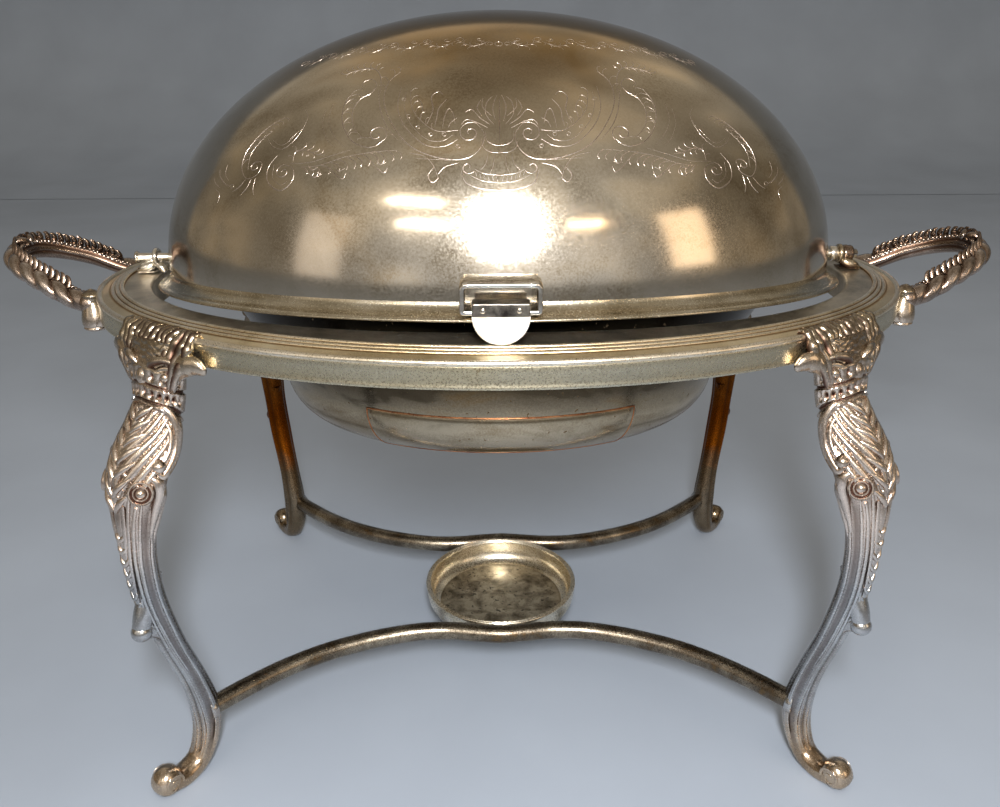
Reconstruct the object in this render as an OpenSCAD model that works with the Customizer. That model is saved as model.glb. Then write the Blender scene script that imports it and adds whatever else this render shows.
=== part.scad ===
// Roll top serving dish: an oval deck on four cabriole legs carries a water pan,
// a food pan and a domed lid that rolls back about two end pivots.
// Origin: on the floor under the centre of the deck. +X runs from handle to handle,
// -Y is the side the lid opens from, +Z is up. All sizes are in millimetres.

/* [Deck] */
// Length of the deck over its skirt
deck_len = 524; // [500:1:560]
// Width of the deck over its skirt
deck_wid = 364; // [350:1:400]
// Height of the flat of the deck above the floor
deck_z = 294; // [280:1:310]
// Width of the reeded border
border_w = 17; // [14:1:20]
// Height of the upright skirt
skirt_h = 12; // [8:1:16]
// Thickness of the deck sheet
deck_t = 1.4; // [1:0.1:2]
// Depth of the opening in front of the pivot axis
front_open = 140; // [136:1:142]

/* [Lid] */
// Length of the dome between its ends
dome_len = 430; // [424:1:434]
// Radius of the dome about the pivot axis
dome_r = 150.5; // [148:0.5:152]
// Thickness of the dome wall
dome_t = 1.3; // [1:0.1:1.6]
// Height of the pivot axis above the deck
axis_up = 10; // [9:0.5:12]
// Angle that the closed lid leans back, so its front rim clears the deck
lid_lean = 5.5; // [5:0.5:6]
// Depth of the lower edge of the rim below the pivot axis
rim_drop = 13.8; // [13:0.1:14.5]

/* [Pivots] */
// Radius of the pivot pins
pin_r = 3; // [2.5:0.1:3.5]
// Running clearance of the lid on its pins
run_gap = 0.06; // [0.03:0.01:0.1]
// Distance of the bracket eyes from the middle of the deck
eye_x = 230; // [228:1:232]

/* [Pans] */
// Length of the water pan over its rim
pan_len = 386; // [376:1:390]
// Width of the water pan over its rim
pan_wid = 262; // [256:1:264]
// Height of the underside of the water pan above the floor
pan_z = 198; // [196:1:206]
// Thickness of the pan walls
pan_t = 1.4; // [1:0.1:2]

/* [Stand] */
// Angle from the X axis at which the legs splay
leg_angle = 55; // [52:1:58]
// Height of the stretchers above the floor
bar_z = 42; // [38:1:46]
// Radius of the stretcher bars
bar_r = 6.3; // [5:0.1:7]
// Outer radius of the burner cup at its rim
cup_r = 58.5; // [57:0.5:60]
// Height of the rim of the burner cup above the floor
cup_z = 47; // [44:1:50]
// Depth of the burner cup
cup_h = 20; // [16:1:24]

/* [Handles] */
// Radius of the cast handle bar
handle_r = 7; // [6:0.1:8]
// Height of the handle roots above the floor
handle_z = 284; // [280:1:288]

/* [Hidden] */

eps = 0.01;
round_n = 96;                 // sides of an oval
deck_a = deck_len / 2;
deck_b = deck_wid / 2;
axis_z = deck_z + axis_up;
dome_a = dome_len / 2;
rear_open = deck_b - border_w - 1;
open_a = deck_a - border_w - 18;
open_power = 2.2;             // fuller than an ellipse, so that the rim passes at its ends
dome_step = 110;              // half length of the middle slices of the dome
rim_a = dome_a + 8;
rim_b = dome_r + 10.5;

silver = "silver";
brass = "darkkhaki";

// ---------- shared outlines ----------

// Points of an oval with half axes a and b; power 2 is an ellipse
function oval(a, b, n = round_n, from = 0, to = 360, power = 2) =
    [for (i = [0 : n - 1]) let (t = from + (to - from) * i / n, c = cos(t), s = sin(t))
        [a * sign(c) * pow(abs(c), 2 / power), b * sign(s) * pow(abs(s), 2 / power)]];

// Point of a Catmull-Rom curve through p at the parameter u, for lists of equal-length vectors
function spline_at(p, u) =
    let (last = len(p) - 1, i = min(floor(u), last - 1), t = u - i,
         a = p[max(i - 1, 0)], b = p[i], c = p[i + 1], d = p[min(i + 2, last)])
    0.5 * (2 * b + (c - a) * t + (2 * a - 5 * b + 4 * c - d) * t * t
        + (3 * b - a - 3 * c + d) * t * t * t);

function spline(p, steps) =
    [for (k = [0 : (len(p) - 1) * steps]) spline_at(p, k / steps)];

function unit(v) = v / norm(v);

// Faces that join ring i to ring i + 1 over n points a ring, where the rings run anticlockwise
// seen from the end they go towards
function band_faces(rings, n, closed) =
    [for (i = [0 : rings - (closed ? 1 : 2)], j = [0 : n - 1])
        let (k = (i + 1) % rings, m = (j + 1) % n) [i * n + j, k * n + j, k * n + m, i * n + m]];

// Solid between rings of points; the first and last rings are capped
module loft(rings) {
    n = len(rings[0]);
    polyhedron(
        points = [for (r = rings, p = r) p],
        faces = concat(band_faces(len(rings), n, false),
            [[for (j = [0 : n - 1]) j], [for (j = [0 : n - 1]) (len(rings) - 1) * n + n - 1 - j]]));
}

// Ring-shaped solid through ovals given as [half length, half width, height], as a closed profile
module oval_ring(levels, n = round_n) {
    polyhedron(
        points = [for (l = levels, p = oval(l[0], l[1], n)) [p[0], p[1], l[2]]],
        faces = band_faces(len(levels), n, true));
}

// Solid of revolution-like vessel through ovals [half length, half width, height], capped
module oval_stack(levels, n = 72) {
    loft([for (l = levels) [for (p = oval(l[0], l[1], n)) [p[0], p[1], l[2]]]]);
}

// Upright oval band between the heights z0 and z1
module oval_band(a, b, wall, z0, z1) {
    translate([0, 0, z0]) linear_extrude(z1 - z0) difference() {
        polygon(oval(a, b));
        polygon(oval(a - wall, b - wall));
    }
}

// Bar of elliptical section along points [x, y, z, half width, half depth]
module swept_bar(path, sides = 10) {
    last = len(path) - 1;
    loft([for (i = [0 : last])
        let (p = path[i], q0 = path[max(i - 1, 0)], q1 = path[min(i + 1, last)],
             dir = unit([q1[0] - q0[0], q1[1] - q0[1], q1[2] - q0[2]]),
             side = unit(cross(dir, [0, 0, 1])), top = cross(side, dir))
        [for (k = [0 : sides - 1]) let (t = -360 * k / sides)
            [p[0], p[1], p[2]] + side * p[3] * cos(t) + top * p[4] * sin(t)]]);
}

module along_x(x0, x1, r, fn = 48) {
    translate([x0, 0, axis_z]) rotate([0, 90, 0]) cylinder(r = r, h = x1 - x0, $fn = fn);
}

// ---------- deck ----------

// Outline of the opening that the lid rolls down through
module deck_opening(grow = 0) {
    front = oval(open_a + grow, front_open + grow, 48, 180, 360, open_power);
    rear = oval(open_a + grow, rear_open + grow, 48, 0, 180);
    polygon(concat(rear, front));
}

module deck_plate() {
    lip_h = 18;
    color(silver) difference() {
        translate([0, 0, deck_z - lip_h]) linear_extrude(lip_h) difference() {
            polygon(oval(deck_a - border_w, deck_b - border_w));
            deck_opening();
        }
        // The sheet is thin, with a lip turned down around the opening
        translate([0, 0, deck_z - lip_h - 1]) linear_extrude(lip_h + 1 - deck_t) difference() {
            polygon(oval(deck_a, deck_b));
            deck_opening(1.2);
        }
    }
}

// Applied border: three fine reeds, a sloped band and a half-round bead over the skirt
module reeded_border() {
    reed_w = 2.8;
    base = deck_z - deck_t;
    inner = -border_w;
    function reed(i) = [for (k = [0 : 4]) let (t = 180 - 45 * k)
        [inner + (i + 0.5) * reed_w + reed_w / 2 * cos(t), deck_z + 1.1 - 0.8 * i + 0.9 * sin(t)]];
    slope_end = [-3.2, base - 1.2];
    // The bead's underside is flat, where it sits on the skirt
    bead = [for (k = [0 : 5]) let (t = 140 - 46 * k)
        [-1.6 + 1.9 * cos(t), max(base - 1.7 + 1.9 * sin(t), base - 3.4)]];
    profile = concat([[inner, base]], reed(0), reed(1), reed(2), [slope_end], bead,
        [[-1.9, base - 3.4], [-4, base - 2.2], [-9, base - 0.8]]);
    color(silver) oval_ring([for (i = [len(profile) - 1 : -1 : 0]) let (p = profile[i])
        [deck_a + p[0], deck_b + p[0], p[1]]]);
}

module skirt_band() {
    top = deck_z - deck_t - 3.4;
    color(brass) oval_band(deck_a, deck_b, 1.7, top - skirt_h, top);
}

// ---------- legs ----------

// Middle line of a leg: distance out from the skirt, height, half width and half depth
leg_line = [
    [2, 289, 17, 6], [3, 276, 19, 9], [4, 262, 16, 10], [6, 252, 14.5, 10.5], [13, 238, 17, 12],
    [21, 225, 18.5, 13.5], [27, 212, 18, 13.5], [30, 200, 15, 11.5], [32, 183, 11.5, 9.5],
    [33, 164, 9.5, 8.5], [31, 138, 8, 8], [24, 105, 8, 7.5], [14, 72, 7, 7], [9, 46, 7.5, 7.5],
    [10, 26, 7.5, 7], [18, 10, 7, 6], [30, 4.6, 7, 6], [41, 6.5, 7, 6]
];

// Middle of the mount on the skirt, for a leg in the quarter of the signs sx and sy
function leg_root() =
    let (t = atan2(deck_b * sin(leg_angle), deck_a * cos(leg_angle)))
    [deck_a * cos(t), deck_b * sin(t)];

module leg(sx, sy) {
    root = leg_root();
    dir = [cos(leg_angle), sin(leg_angle)];
    across = [-dir[1], dir[0]];
    line = spline(leg_line, 2);
    last = len(line) - 1;
    flip = sx * sy;
    color("gainsboro") {
        // Cast body, drawn in the plane of the leg
        loft([for (i = [0 : last])
            let (p = line[i], q0 = line[max(i - 1, 0)], q1 = line[min(i + 1, last)],
                 run = unit([q1[0] - q0[0], q1[1] - q0[1]]), out = [-run[1], run[0]])
            [for (k = [0 : 11]) let (t = -30 * k * flip, w = p[2] * sin(t), d = p[3] * cos(t),
                    s = p[0] + out[0] * d, h = max(p[1] + out[1] * d, 0), xy = root + dir * s + across * w)
                [sx * xy[0], sy * xy[1], h]]]);
        // Toe scroll and spur scroll
        leg_scroll(sx, sy, 43, 9.5, 9.5, 16);
        leg_scroll(sx, sy, 40.5, 121, 6, 11);
    }
}

// Rolled scroll across a leg: its place in the leg's plane, its radius and its width
module leg_scroll(sx, sy, out, height, r, width) {
    root = leg_root() + out * [cos(leg_angle), sin(leg_angle)];
    translate([sx * root[0], sy * root[1], height])
        rotate([0, 0, sx * sy * leg_angle + (sx < 0 ? 180 : 0)]) rotate([90, 0, 0])
            translate([0, 0, -width / 2]) cylinder(r = r, h = width, $fn = 32);
}

module leg_front_left() { leg(-1, -1); }
module leg_front_right() { leg(1, -1); }
module leg_rear_left() { leg(-1, 1); }
module leg_rear_right() { leg(1, 1); }

// ---------- stretchers and burner cup ----------

// Half of the front stretcher's middle line from a leg to the middle, mirrored for the rest
bar_line = [[186, 134], [168, 116], [147, 98], [124, 83], [99, 71.5], [76, 64], [56, 60], [36, 59.6],
    [17, 62.2]];
bar_middle = cup_r + bar_r - 0.9;

function bar_path(side) =
    let (half = bar_line, n = len(half),
         knots = concat(half, [[0, bar_middle]], [for (i = [n - 1 : -1 : 0]) [-half[i][0], half[i][1]]]))
    [for (p = spline(knots, 2)) [p[0], side * p[1], bar_z, bar_r, bar_r]];

module stretcher_front() { color("rosybrown") swept_bar(bar_path(-1)); }
module stretcher_rear() { color("rosybrown") swept_bar(bar_path(1)); }

// Solder collars where the stretchers meet the legs
module stretcher_collars() {
    collar_r = bar_r + 1.9;
    color("gray") for (sx = [-1, 1], sy = [-1, 1])
        translate([sx * 187.5, sy * 135.5, bar_z]) rotate([0, 90, sx > 0 ? sy * 45 : sy * 135])
            difference() {
                cylinder(r = collar_r, h = 4, center = true, $fn = 32);
                cylinder(r = bar_r + 0.1, h = 5, center = true, $fn = 32);
            }
}

module burner_cup() {
    base = cup_z - cup_h;
    outer_r = cup_r - 1;
    color(brass) rotate_extrude($fn = 96) polygon([
        [0, base], [outer_r - 10, base], [outer_r - 3, base + 4], [outer_r, base + 11],
        [outer_r, cup_z - 2.5], [outer_r - 1.4, cup_z - 2.5], [outer_r - 1.4, base + 11],
        [outer_r - 4.2, base + 5], [outer_r - 10.5, base + 1.4], [0, base + 1.4]]);
}

// Stepped double line around the mouth of the cup
module burner_cup_rim() {
    color(brass) translate([0, 0, cup_z - 2.5]) rotate_extrude($fn = 96) polygon([
        [cup_r - 4, 0], [cup_r, 0], [cup_r, 1.6], [cup_r - 0.6, 2.5], [cup_r - 1.4, 2.5],
        [cup_r - 1.9, 1.6], [cup_r - 2.4, 1.6], [cup_r - 2.8, 2.2], [cup_r - 3.5, 2.2], [cup_r - 4, 1.4]]);
}

// ---------- handles ----------

// Half of a handle's middle line: distance out from the middle, distance to one side and rise
handle_line = [[258, 45, 0], [272, 43, 4], [291, 37.5, 13], [309, 26, 20], [319, 10, 23.5]];

function handle_path(sx) =
    let (h = handle_line, n = len(h),
         knots = concat([for (p = h) [p[0], -p[1], p[2]]], [for (i = [n - 1 : -1 : 0]) h[i]]))
    [for (p = spline(knots, 3))
        [sx * p[0], p[1], handle_z + p[2], handle_r, handle_r]];

module handle_left() { color("tan") swept_bar(handle_path(-1)); }
module handle_right() { color("tan") swept_bar(handle_path(1)); }

// Bell-shaped foot of each handle arm, standing against the skirt
module handle_terminals() {
    bell = [[0, -16], [7.2, -16], [8.2, -13], [8, -7], [6.4, 0], [4.6, 6], [2, 10], [0, 10]];
    stand_off = 3.2;
    t = asin(handle_line[0][1] / deck_b);
    spot = [deck_a * cos(t), deck_b * sin(t)];
    facing = atan2(spot[1] / pow(deck_b, 2), spot[0] / pow(deck_a, 2));
    color(silver) for (sx = [-1, 1], sy = [-1, 1])
        translate([sx * spot[0], sy * spot[1], handle_z])
            rotate([0, 0, sx > 0 ? sy * facing : 180 - sy * facing]) difference() {
                translate([stand_off, 0, 0]) rotate_extrude($fn = 32) polygon(bell);
                // Flat back against the skirt
                translate([-20, -15, -20]) cube([20, 30, 40]);
            }
}

// ---------- pivots ----------

// Ribbed shell bracket: a curved web with an eye for the pin
module pivot_bracket(s) {
    foot_x = eye_x + 12;
    web = [[-1.5, 0], [foot_x - eye_x, 0], [foot_x - eye_x, 1.6], [8, 2.6], [4.5, 5], [1.5, axis_up - 3],
        [-1.5, axis_up - 3]];
    color("white") difference() {
        union() {
            translate([s * eye_x, 0, deck_z]) rotate([90, 0, 0])
                translate([0, 0, -8]) linear_extrude(16)
                    polygon([for (p = web) [s * p[0], p[1]]]);
            along_x(s * eye_x - 1.5, s * eye_x + 1.5, pin_r + 3.4);
        }
        along_x(s * eye_x - 20, s * eye_x + 20, pin_r + run_gap);
        // Seat of the right pivot's collar
        if (s > 0) along_x(eye_x + 1.5, eye_x + 14, pin_r + 2.9);
    }
}

module bracket_left() { pivot_bracket(-1); }
module bracket_right() { pivot_bracket(1); }

module bracket_rivets() {
    color(silver) for (s = [-1, 1], y = [-5, 5])
        translate([s * (eye_x + 9.5), y, deck_z + 2.2]) sphere(r = 1.6, $fn = 24);
}

// Pull-out pin of the left pivot, with a slotted head
module pin_left() {
    color("white") difference() {
        union() {
            along_x(-eye_x - 12, -(dome_a - 15), pin_r);
            along_x(-eye_x - 14.5, -eye_x - 12, pin_r + 1.2);
        }
        translate([-eye_x - 15, -0.6, axis_z - 6]) cube([1.5, 1.2, 12]);
    }
}

module pin_right() {
    color("white") along_x(dome_a - 15, eye_x + 12, pin_r);
}

module sleeve_right() {
    color("white") difference() {
        along_x(dome_a + 8, eye_x - 1.5, pin_r + 2.2);
        along_x(dome_a, eye_x, pin_r);
    }
}

module collar_right() {
    color("peru") difference() {
        along_x(eye_x + 1.5, eye_x + 9, pin_r + 2.8);
        along_x(eye_x, eye_x + 15, pin_r);
    }
}

// ---------- lid ----------

module leaned() {
    translate([0, 0, axis_z]) rotate([-lid_lean, 0, 0]) children();
}

// Half section of the dome about its axis, as points [radius, distance along the axis]
function dome_arc(a, r, n) = [for (i = [0 : n]) let (t = -90 + 180 * i / n)
    [max(r * cos(t), 0), a * sin(t)]];

// Slice of the dome between two places along its axis
module dome_part(x0, x1) {
    cut = 5;
    n = 36;
    inner = dome_arc(dome_a - dome_t, dome_r - dome_t, n);
    color("lightgray") leaned() difference() {
        intersection() {
            rotate([0, 90, 0]) rotate_extrude($fn = 120)
                polygon(concat(dome_arc(dome_a, dome_r, n), [for (i = [n : -1 : 0]) inner[i]]));
            translate([x0, -200, -cut]) cube([x1 - x0, 400, 300]);
        }
        rotate([0, 90, 0]) cylinder(r = pin_r + run_gap, h = 600, center = true, $fn = 48);
    }
}

// The dome is one raised sheet, drawn as four slices
module dome_end_left() { dome_part(-dome_a - 1, -dome_step); }
module dome_left() { dome_part(-dome_step, 0); }
module dome_right() { dome_part(0, dome_step); }
module dome_end_right() { dome_part(dome_step, dome_a + 1); }

// Band that the top of the rim fills around the dome
module rim_seat() {
    leaned() translate([0, 0, -12]) linear_extrude(7.1) polygon(oval(dome_a + 1.2, dome_r + 1.2));
}

// Flared rim soldered round the mouth of the dome
module dome_rim() {
    a = dome_a;
    b = dome_r;
    z = -rim_drop;
    color("lightgray") leaned() oval_ring([
        [a - dome_t, b - dome_t, -5], [a - dome_t, b - dome_t, -7.5], [a + 3.4, b + 5, z + 1.6],
        [rim_a - 1, rim_b - 1, z], [rim_a, rim_b, z + 0.5], [rim_a, rim_b, z + 1.6],
        [a + 4.4, b + 6, z + 3.4], [a + 0.9, b + 0.9, -7.5], [a, b, -5]]);
}

module pivot_boss(s) {
    color("lightgray") difference() {
        along_x(s > 0 ? dome_a - 0.2 : -dome_a - 6, s > 0 ? dome_a + 6 : -dome_a + 0.2, 6.5);
        along_x(-300, 300, pin_r + run_gap);
        rim_seat();
    }
}

module pivot_boss_left() { pivot_boss(-1); }
module pivot_boss_right() { pivot_boss(1); }

// Places of the lid grip: the front of the rim, the underside of the grip and the top of the shelf
grip_back = rim_b + 1.2;
grip_low = deck_z + 2.3;
grip_high = grip_low + 14.5;
shelf_z = axis_z + 21;
grip_half = 14.5;

// Stirrup soldered to the dome: a shelf, two cheeks and two toes that hold the ferrule
module lid_stirrup() {
    half_w = 20.5;
    reach = grip_back + 6;
    wall = 2.5;
    toe_z = grip_high + 0.5;
    color("silver") difference() {
        union() {
            translate([-half_w, -reach, shelf_z]) cube([2 * half_w, reach - 140, wall]);
            for (s = [-1, 1]) {
                translate([s > 0 ? half_w - wall : -half_w, -reach, toe_z])
                    cube([wall, reach - 140, shelf_z - toe_z + eps]);
                translate([s > 0 ? grip_half : -half_w, -reach, toe_z])
                    cube([half_w - grip_half, reach - grip_back + 4, wall]);
            }
        }
        // Back follows the dome and clears its rim
        leaned() rotate([0, 90, 0]) rotate_extrude($fn = 120) polygon(dome_arc(dome_a, dome_r, 36));
        rim_seat();
    }
}

// Ferrule between the toes, drilled for the rivets of the grip
module grip_ferrule() {
    color("dimgray") difference() {
        translate([-grip_half, -grip_back - 7, grip_high]) cube([2 * grip_half, 9, 7]);
        for (x = [-9, 9]) translate([x, -grip_back - 8, grip_high + 3.5]) rotate([-90, 0, 0])
            cylinder(r = 1.5, h = 20, $fn = 24);
    }
}

// Half-round ivory grip that hangs from the ferrule and rests on the border
module lid_grip() {
    color("ivory") translate([0, -grip_back, grip_high]) rotate([90, 0, 0])
        linear_extrude(8.5) intersection() {
            circle(r = grip_half, $fn = 64);
            translate([-20, -20]) square([40, 20]);
        }
}

module grip_rivets() {
    color(silver) for (x = [-9, 9]) translate([x, -grip_back - 7.8, grip_high + 3.5])
        rotate([-90, 0, 0]) cylinder(r = 1.5, h = 9.8, $fn = 24);
}

// ---------- pans ----------

pan_a = pan_len / 2;
pan_b = pan_wid / 2;
pan_rim_z = deck_z + 3;
bottom_a = 148;
bottom_b = 114;
bottom_r = 35;

// Levels of the water pan's outside, from the rounded floor to under the rim
function pan_side(in) = [for (k = [0 : 8]) let (t = 90 - 11.25 * k)
    [bottom_a - bottom_r * (1 - cos(t)) - in, bottom_b - bottom_r * (1 - cos(t)) - in,
     pan_z + bottom_r - (bottom_r - in) * sin(t)]];

module water_pan() {
    sides = 120;
    wall_a = pan_a - 8;
    wall_b = pan_b - 5;
    rim = [[wall_a, wall_b, pan_rim_z - 1.4], [pan_a, pan_b, pan_rim_z - 1.4], [pan_a, pan_b, pan_rim_z],
        [wall_a - pan_t, wall_b - pan_t, pan_rim_z]];
    inside = pan_side(pan_t);
    color("darkgray") oval_stack(concat(pan_side(0), rim,
        [for (i = [len(inside) - 1 : -1 : 0]) inside[i]]), sides);
}

// Points of a front patch of the oval with half axes a and b, between two angles either side of -90
function front_arc(a, b, half, n) = [for (i = [0 : n]) let (t = -90 - half + 2 * half * i / n)
    [a * cos(t), b * sin(t)]];

// Thin plate on the front of the water pan, bent to the pan's side
module pan_front_plate() {
    half = 33;
    n = 22;
    levels = [3 : 8];
    count = 6;
    outside = pan_side(-1);
    inside = pan_side(0);
    skin = count * (n + 1);
    // Quads of one skin, turned over for the inner one, then the four edges
    function quads(base, over) = [for (k = [0 : count - 2], i = [0 : n - 1])
        let (p = base + k * (n + 1) + i, q = p + n + 1) over ? [p, p + 1, q + 1, q] : [p, q, q + 1, p + 1]];
    function edge(list) = [for (i = [0 : len(list) - 2])
        [list[i], list[i + 1], list[i + 1] + skin, list[i] + skin]];
    low = [for (i = [0 : n]) i];
    high = [for (i = [n : -1 : 0]) (count - 1) * (n + 1) + i];
    right = [for (k = [0 : count - 1]) k * (n + 1) + n];
    left = [for (k = [count - 1 : -1 : 0]) k * (n + 1)];
    color("lightslategray") polyhedron(
        points = concat(
            [for (k = levels, p = front_arc(outside[k][0], outside[k][1], half, n)) [p[0], p[1], outside[k][2]]],
            [for (k = levels, p = front_arc(inside[k][0], inside[k][1], half, n)) [p[0], p[1], inside[k][2]]]),
        faces = concat(quads(0, false), quads(skin, true), edge(low), edge(right), edge(high), edge(left)));
}

// Strap that hooks over a pivot pin and carries one end of the pan
module pan_hanger(s) {
    x_in = dome_a - 20;
    x_out = dome_a - 10;
    notch = pin_r + 0.1;
    color("gray") difference() {
        union() {
            translate([s > 0 ? x_out - 3 : -x_out, -11, pan_rim_z]) cube([3, 22, 16]);
            translate([s > 0 ? x_in - 4 : -x_out, -11, pan_rim_z]) cube([x_out - x_in + 4, 22, 2]);
        }
        along_x(-300, 300, notch);
        translate([-300, -notch, pan_rim_z - 1]) cube([600, 2 * notch, axis_z - pan_rim_z + 1]);
    }
}

module pan_hanger_left() { pan_hanger(-1); }
module pan_hanger_right() { pan_hanger(1); }

module hanger_rivets() {
    color(silver) for (s = [-1, 1], y = [-7.5, 7.5])
        translate([s * (dome_a - 21), y, pan_rim_z + 2]) cylinder(r = 2, h = 1.2, $fn = 24);
}

// Lift-out food pan that rests on the rim of the water pan
module food_pan() {
    a = pan_a - 14;
    b = pan_b - 10.5;
    floor_z = pan_z + 42;
    rim_z = pan_rim_z + 0.2;
    edge = 12;
    outer = [for (k = [0 : 4]) let (t = 90 - 22.5 * k)
        [a - 26 - edge * (1 - cos(t)), b - 16 - edge * (1 - cos(t)), floor_z + edge * (1 - sin(t))]];
    inner = [for (k = [4 : -1 : 0]) let (t = 90 - 22.5 * k)
        [a - 26 - pan_t - (edge - pan_t) * (1 - cos(t)) , b - 16 - pan_t - (edge - pan_t) * (1 - cos(t)),
         floor_z + edge - (edge - pan_t) * sin(t)]];
    rim = [[a, b, rim_z], [a + 8.5, b + 6.5, rim_z], [a + 8.5, b + 6.5, rim_z + pan_t],
        [a - pan_t, b - pan_t, rim_z + pan_t]];
    color("lightsteelblue") oval_stack(concat(outer, rim, inner));
}

// ---------- drawing ----------

deck_plate();
reeded_border();
skirt_band();
leg_front_left();
leg_front_right();
leg_rear_left();
leg_rear_right();
stretcher_front();
stretcher_rear();
stretcher_collars();
burner_cup();
burner_cup_rim();
handle_left();
handle_right();
handle_terminals();
bracket_left();
bracket_right();
bracket_rivets();
pin_left();
pin_right();
sleeve_right();
collar_right();
dome_end_left();
dome_left();
dome_right();
dome_end_right();
dome_rim();
pivot_boss_left();
pivot_boss_right();
lid_stirrup();
grip_ferrule();
lid_grip();
grip_rivets();
water_pan();
pan_front_plate();
pan_hanger_left();
pan_hanger_right();
hanger_rivets();
food_pan();
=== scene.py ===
import math

import bmesh
import bpy
import numpy as np
from mathutils import Matrix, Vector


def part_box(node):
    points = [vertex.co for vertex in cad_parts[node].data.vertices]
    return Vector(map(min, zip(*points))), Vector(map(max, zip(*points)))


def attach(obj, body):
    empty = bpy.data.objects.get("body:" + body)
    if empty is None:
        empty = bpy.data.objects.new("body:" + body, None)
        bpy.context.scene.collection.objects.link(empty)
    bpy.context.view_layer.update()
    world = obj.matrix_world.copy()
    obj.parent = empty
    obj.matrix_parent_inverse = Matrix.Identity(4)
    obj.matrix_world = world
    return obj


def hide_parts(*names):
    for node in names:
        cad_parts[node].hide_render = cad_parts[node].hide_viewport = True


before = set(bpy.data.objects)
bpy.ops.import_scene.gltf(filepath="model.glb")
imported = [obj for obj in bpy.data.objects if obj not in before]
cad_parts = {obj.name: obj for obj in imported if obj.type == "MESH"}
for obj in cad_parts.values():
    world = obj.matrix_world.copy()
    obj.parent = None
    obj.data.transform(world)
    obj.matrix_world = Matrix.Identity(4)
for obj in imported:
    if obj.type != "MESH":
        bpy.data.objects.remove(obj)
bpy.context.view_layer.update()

bl_info = {
    "name": "Roll top chafer",
    "version": (1, 0, 0),
    "blender": (4, 5, 0),
    "location": "3D View > Sidebar > Chafer",
    "description": "Builds a roll top serving dish piece by piece around its CAD frame",
    "category": "Object",
}

MM = 0.001
TAU = 2 * math.pi


# ---------- places read from the frame, in millimetres ----------

def low(node):
    return np.array(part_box(node)[0]) / MM


def high(node):
    return np.array(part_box(node)[1]) / MM


DECK_A, DECK_B = high("skirt_band")[0], high("skirt_band")[1]
DECK_Z = high("deck_plate")[2]
AXIS_Z = (low("pin_right")[2] + high("pin_right")[2]) / 2
PAN_A, PAN_B = high("water_pan")[0], high("water_pan")[1]
PAN_TOP, PAN_LOW = high("water_pan")[2], low("water_pan")[2]
CUP_R, CUP_TOP = high("burner_cup_rim")[0], high("burner_cup_rim")[2]
CUP_LOW = low("burner_cup")[2]
GRIP_LOW, GRIP_TOP = low("lid_grip")[2], high("lid_grip")[2]
GRIP_FRONT, GRIP_BACK = low("lid_grip")[1], high("lid_grip")[1]
SHELF_TOP = high("lid_stirrup")[2]
BORDER_W = DECK_A - high("deck_plate")[0]
DOME_A, DOME_B = 215.0, high("dome_left")[2] - AXIS_Z   # half length and radius of the dome
LEAN = math.radians(5.5)                                # the closed lid leans back by this much


class ChaferSizes(bpy.types.PropertyGroup):
    """Sizes that change how the pieces are worked, in metres"""
    reed_height: bpy.props.FloatProperty(
        name="Reed height", description="Height of the border reeds", default=0.0009, unit="LENGTH")
    engraved_line: bpy.props.FloatProperty(
        name="Engraved line", description="Half width of an engraved line", default=0.0003, unit="LENGTH")
    feather_depth: bpy.props.FloatProperty(
        name="Feather depth", description="Depth of the carved plume on the knees", default=0.0023,
        unit="LENGTH")
    lobe_pitch: bpy.props.FloatProperty(
        name="Gadroon pitch", description="Spacing of the gadroons on the handles", default=0.0128,
        unit="LENGTH")
    bead_radius: bpy.props.FloatProperty(
        name="Bead radius", description="Radius of the beads along the handles", default=0.0013,
        unit="LENGTH")
    bar_radius: bpy.props.FloatProperty(
        name="Stretcher radius", description="Radius of the stretcher bars", default=0.0063, unit="LENGTH")


def colour_prop(name, description, value):
    return bpy.props.FloatVectorProperty(
        name=name, description=description, default=linear(value), subtype="COLOR", size=3, min=0, max=1)


def linear(value):
    """Linear colour from an sRGB hex value such as '#B0A89A'."""
    parts = [int(value[i:i + 2], 16) / 255 for i in (1, 3, 5)]
    return tuple(c / 12.92 if c <= 0.04045 else ((c + 0.055) / 1.055) ** 2.4 for c in parts)


class ChaferFinishes(bpy.types.PropertyGroup):
    """Colours of the finishes"""
    plate: colour_prop("Silver plate", "Clean silver plate on the dome", "#D6CEC0")
    # Golden brown painted high on the dome: a painted reflection of a warm room
    tarnish: colour_prop("Golden top reflection", "Golden brown reflection painted high on the dome", "#BDA070")
    skirt: colour_prop("Brassy skirt", "Worn plate of the skirt, brass showing through", "#CABFA2")
    casting: colour_prop("Cast silver", "High parts of the castings", "#F0EAE5")
    recess: colour_prop("Recesses", "Red-brown tarnish in the recesses of the castings", "#4A2C22")
    grip: colour_prop("Grip", "Ivory-coloured grip", "#EFEAE0")
    floor: colour_prop("Floor", "Painted floor of the stage", "#929BA8")


# ---------- small tools ----------

def catmull(knots, count):
    """Points of a smooth curve through the knots, evenly spaced in the knots' own parameter."""
    p = np.asarray(knots, float)
    last = len(p) - 1
    u = np.linspace(0, last, count)
    i = np.minimum(u.astype(int), last - 1)
    t = (u - i)[:, None]
    a, b, c, d = p[np.maximum(i - 1, 0)], p[i], p[i + 1], p[np.minimum(i + 2, last)]
    return 0.5 * (2 * b + (c - a) * t + (2 * a - 5 * b + 4 * c - d) * t ** 2
                  + (3 * b - a - 3 * c + d) * t ** 3)


def spaced(path, step):
    """The same path with points at an even distance."""
    run = np.concatenate([[0], np.cumsum(np.linalg.norm(np.diff(path, axis=0), axis=1))])
    at = np.linspace(0, run[-1], max(int(run[-1] / step) + 1, 3))
    return np.stack([np.interp(at, run, path[:, k]) for k in range(path.shape[1])], 1)


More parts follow.
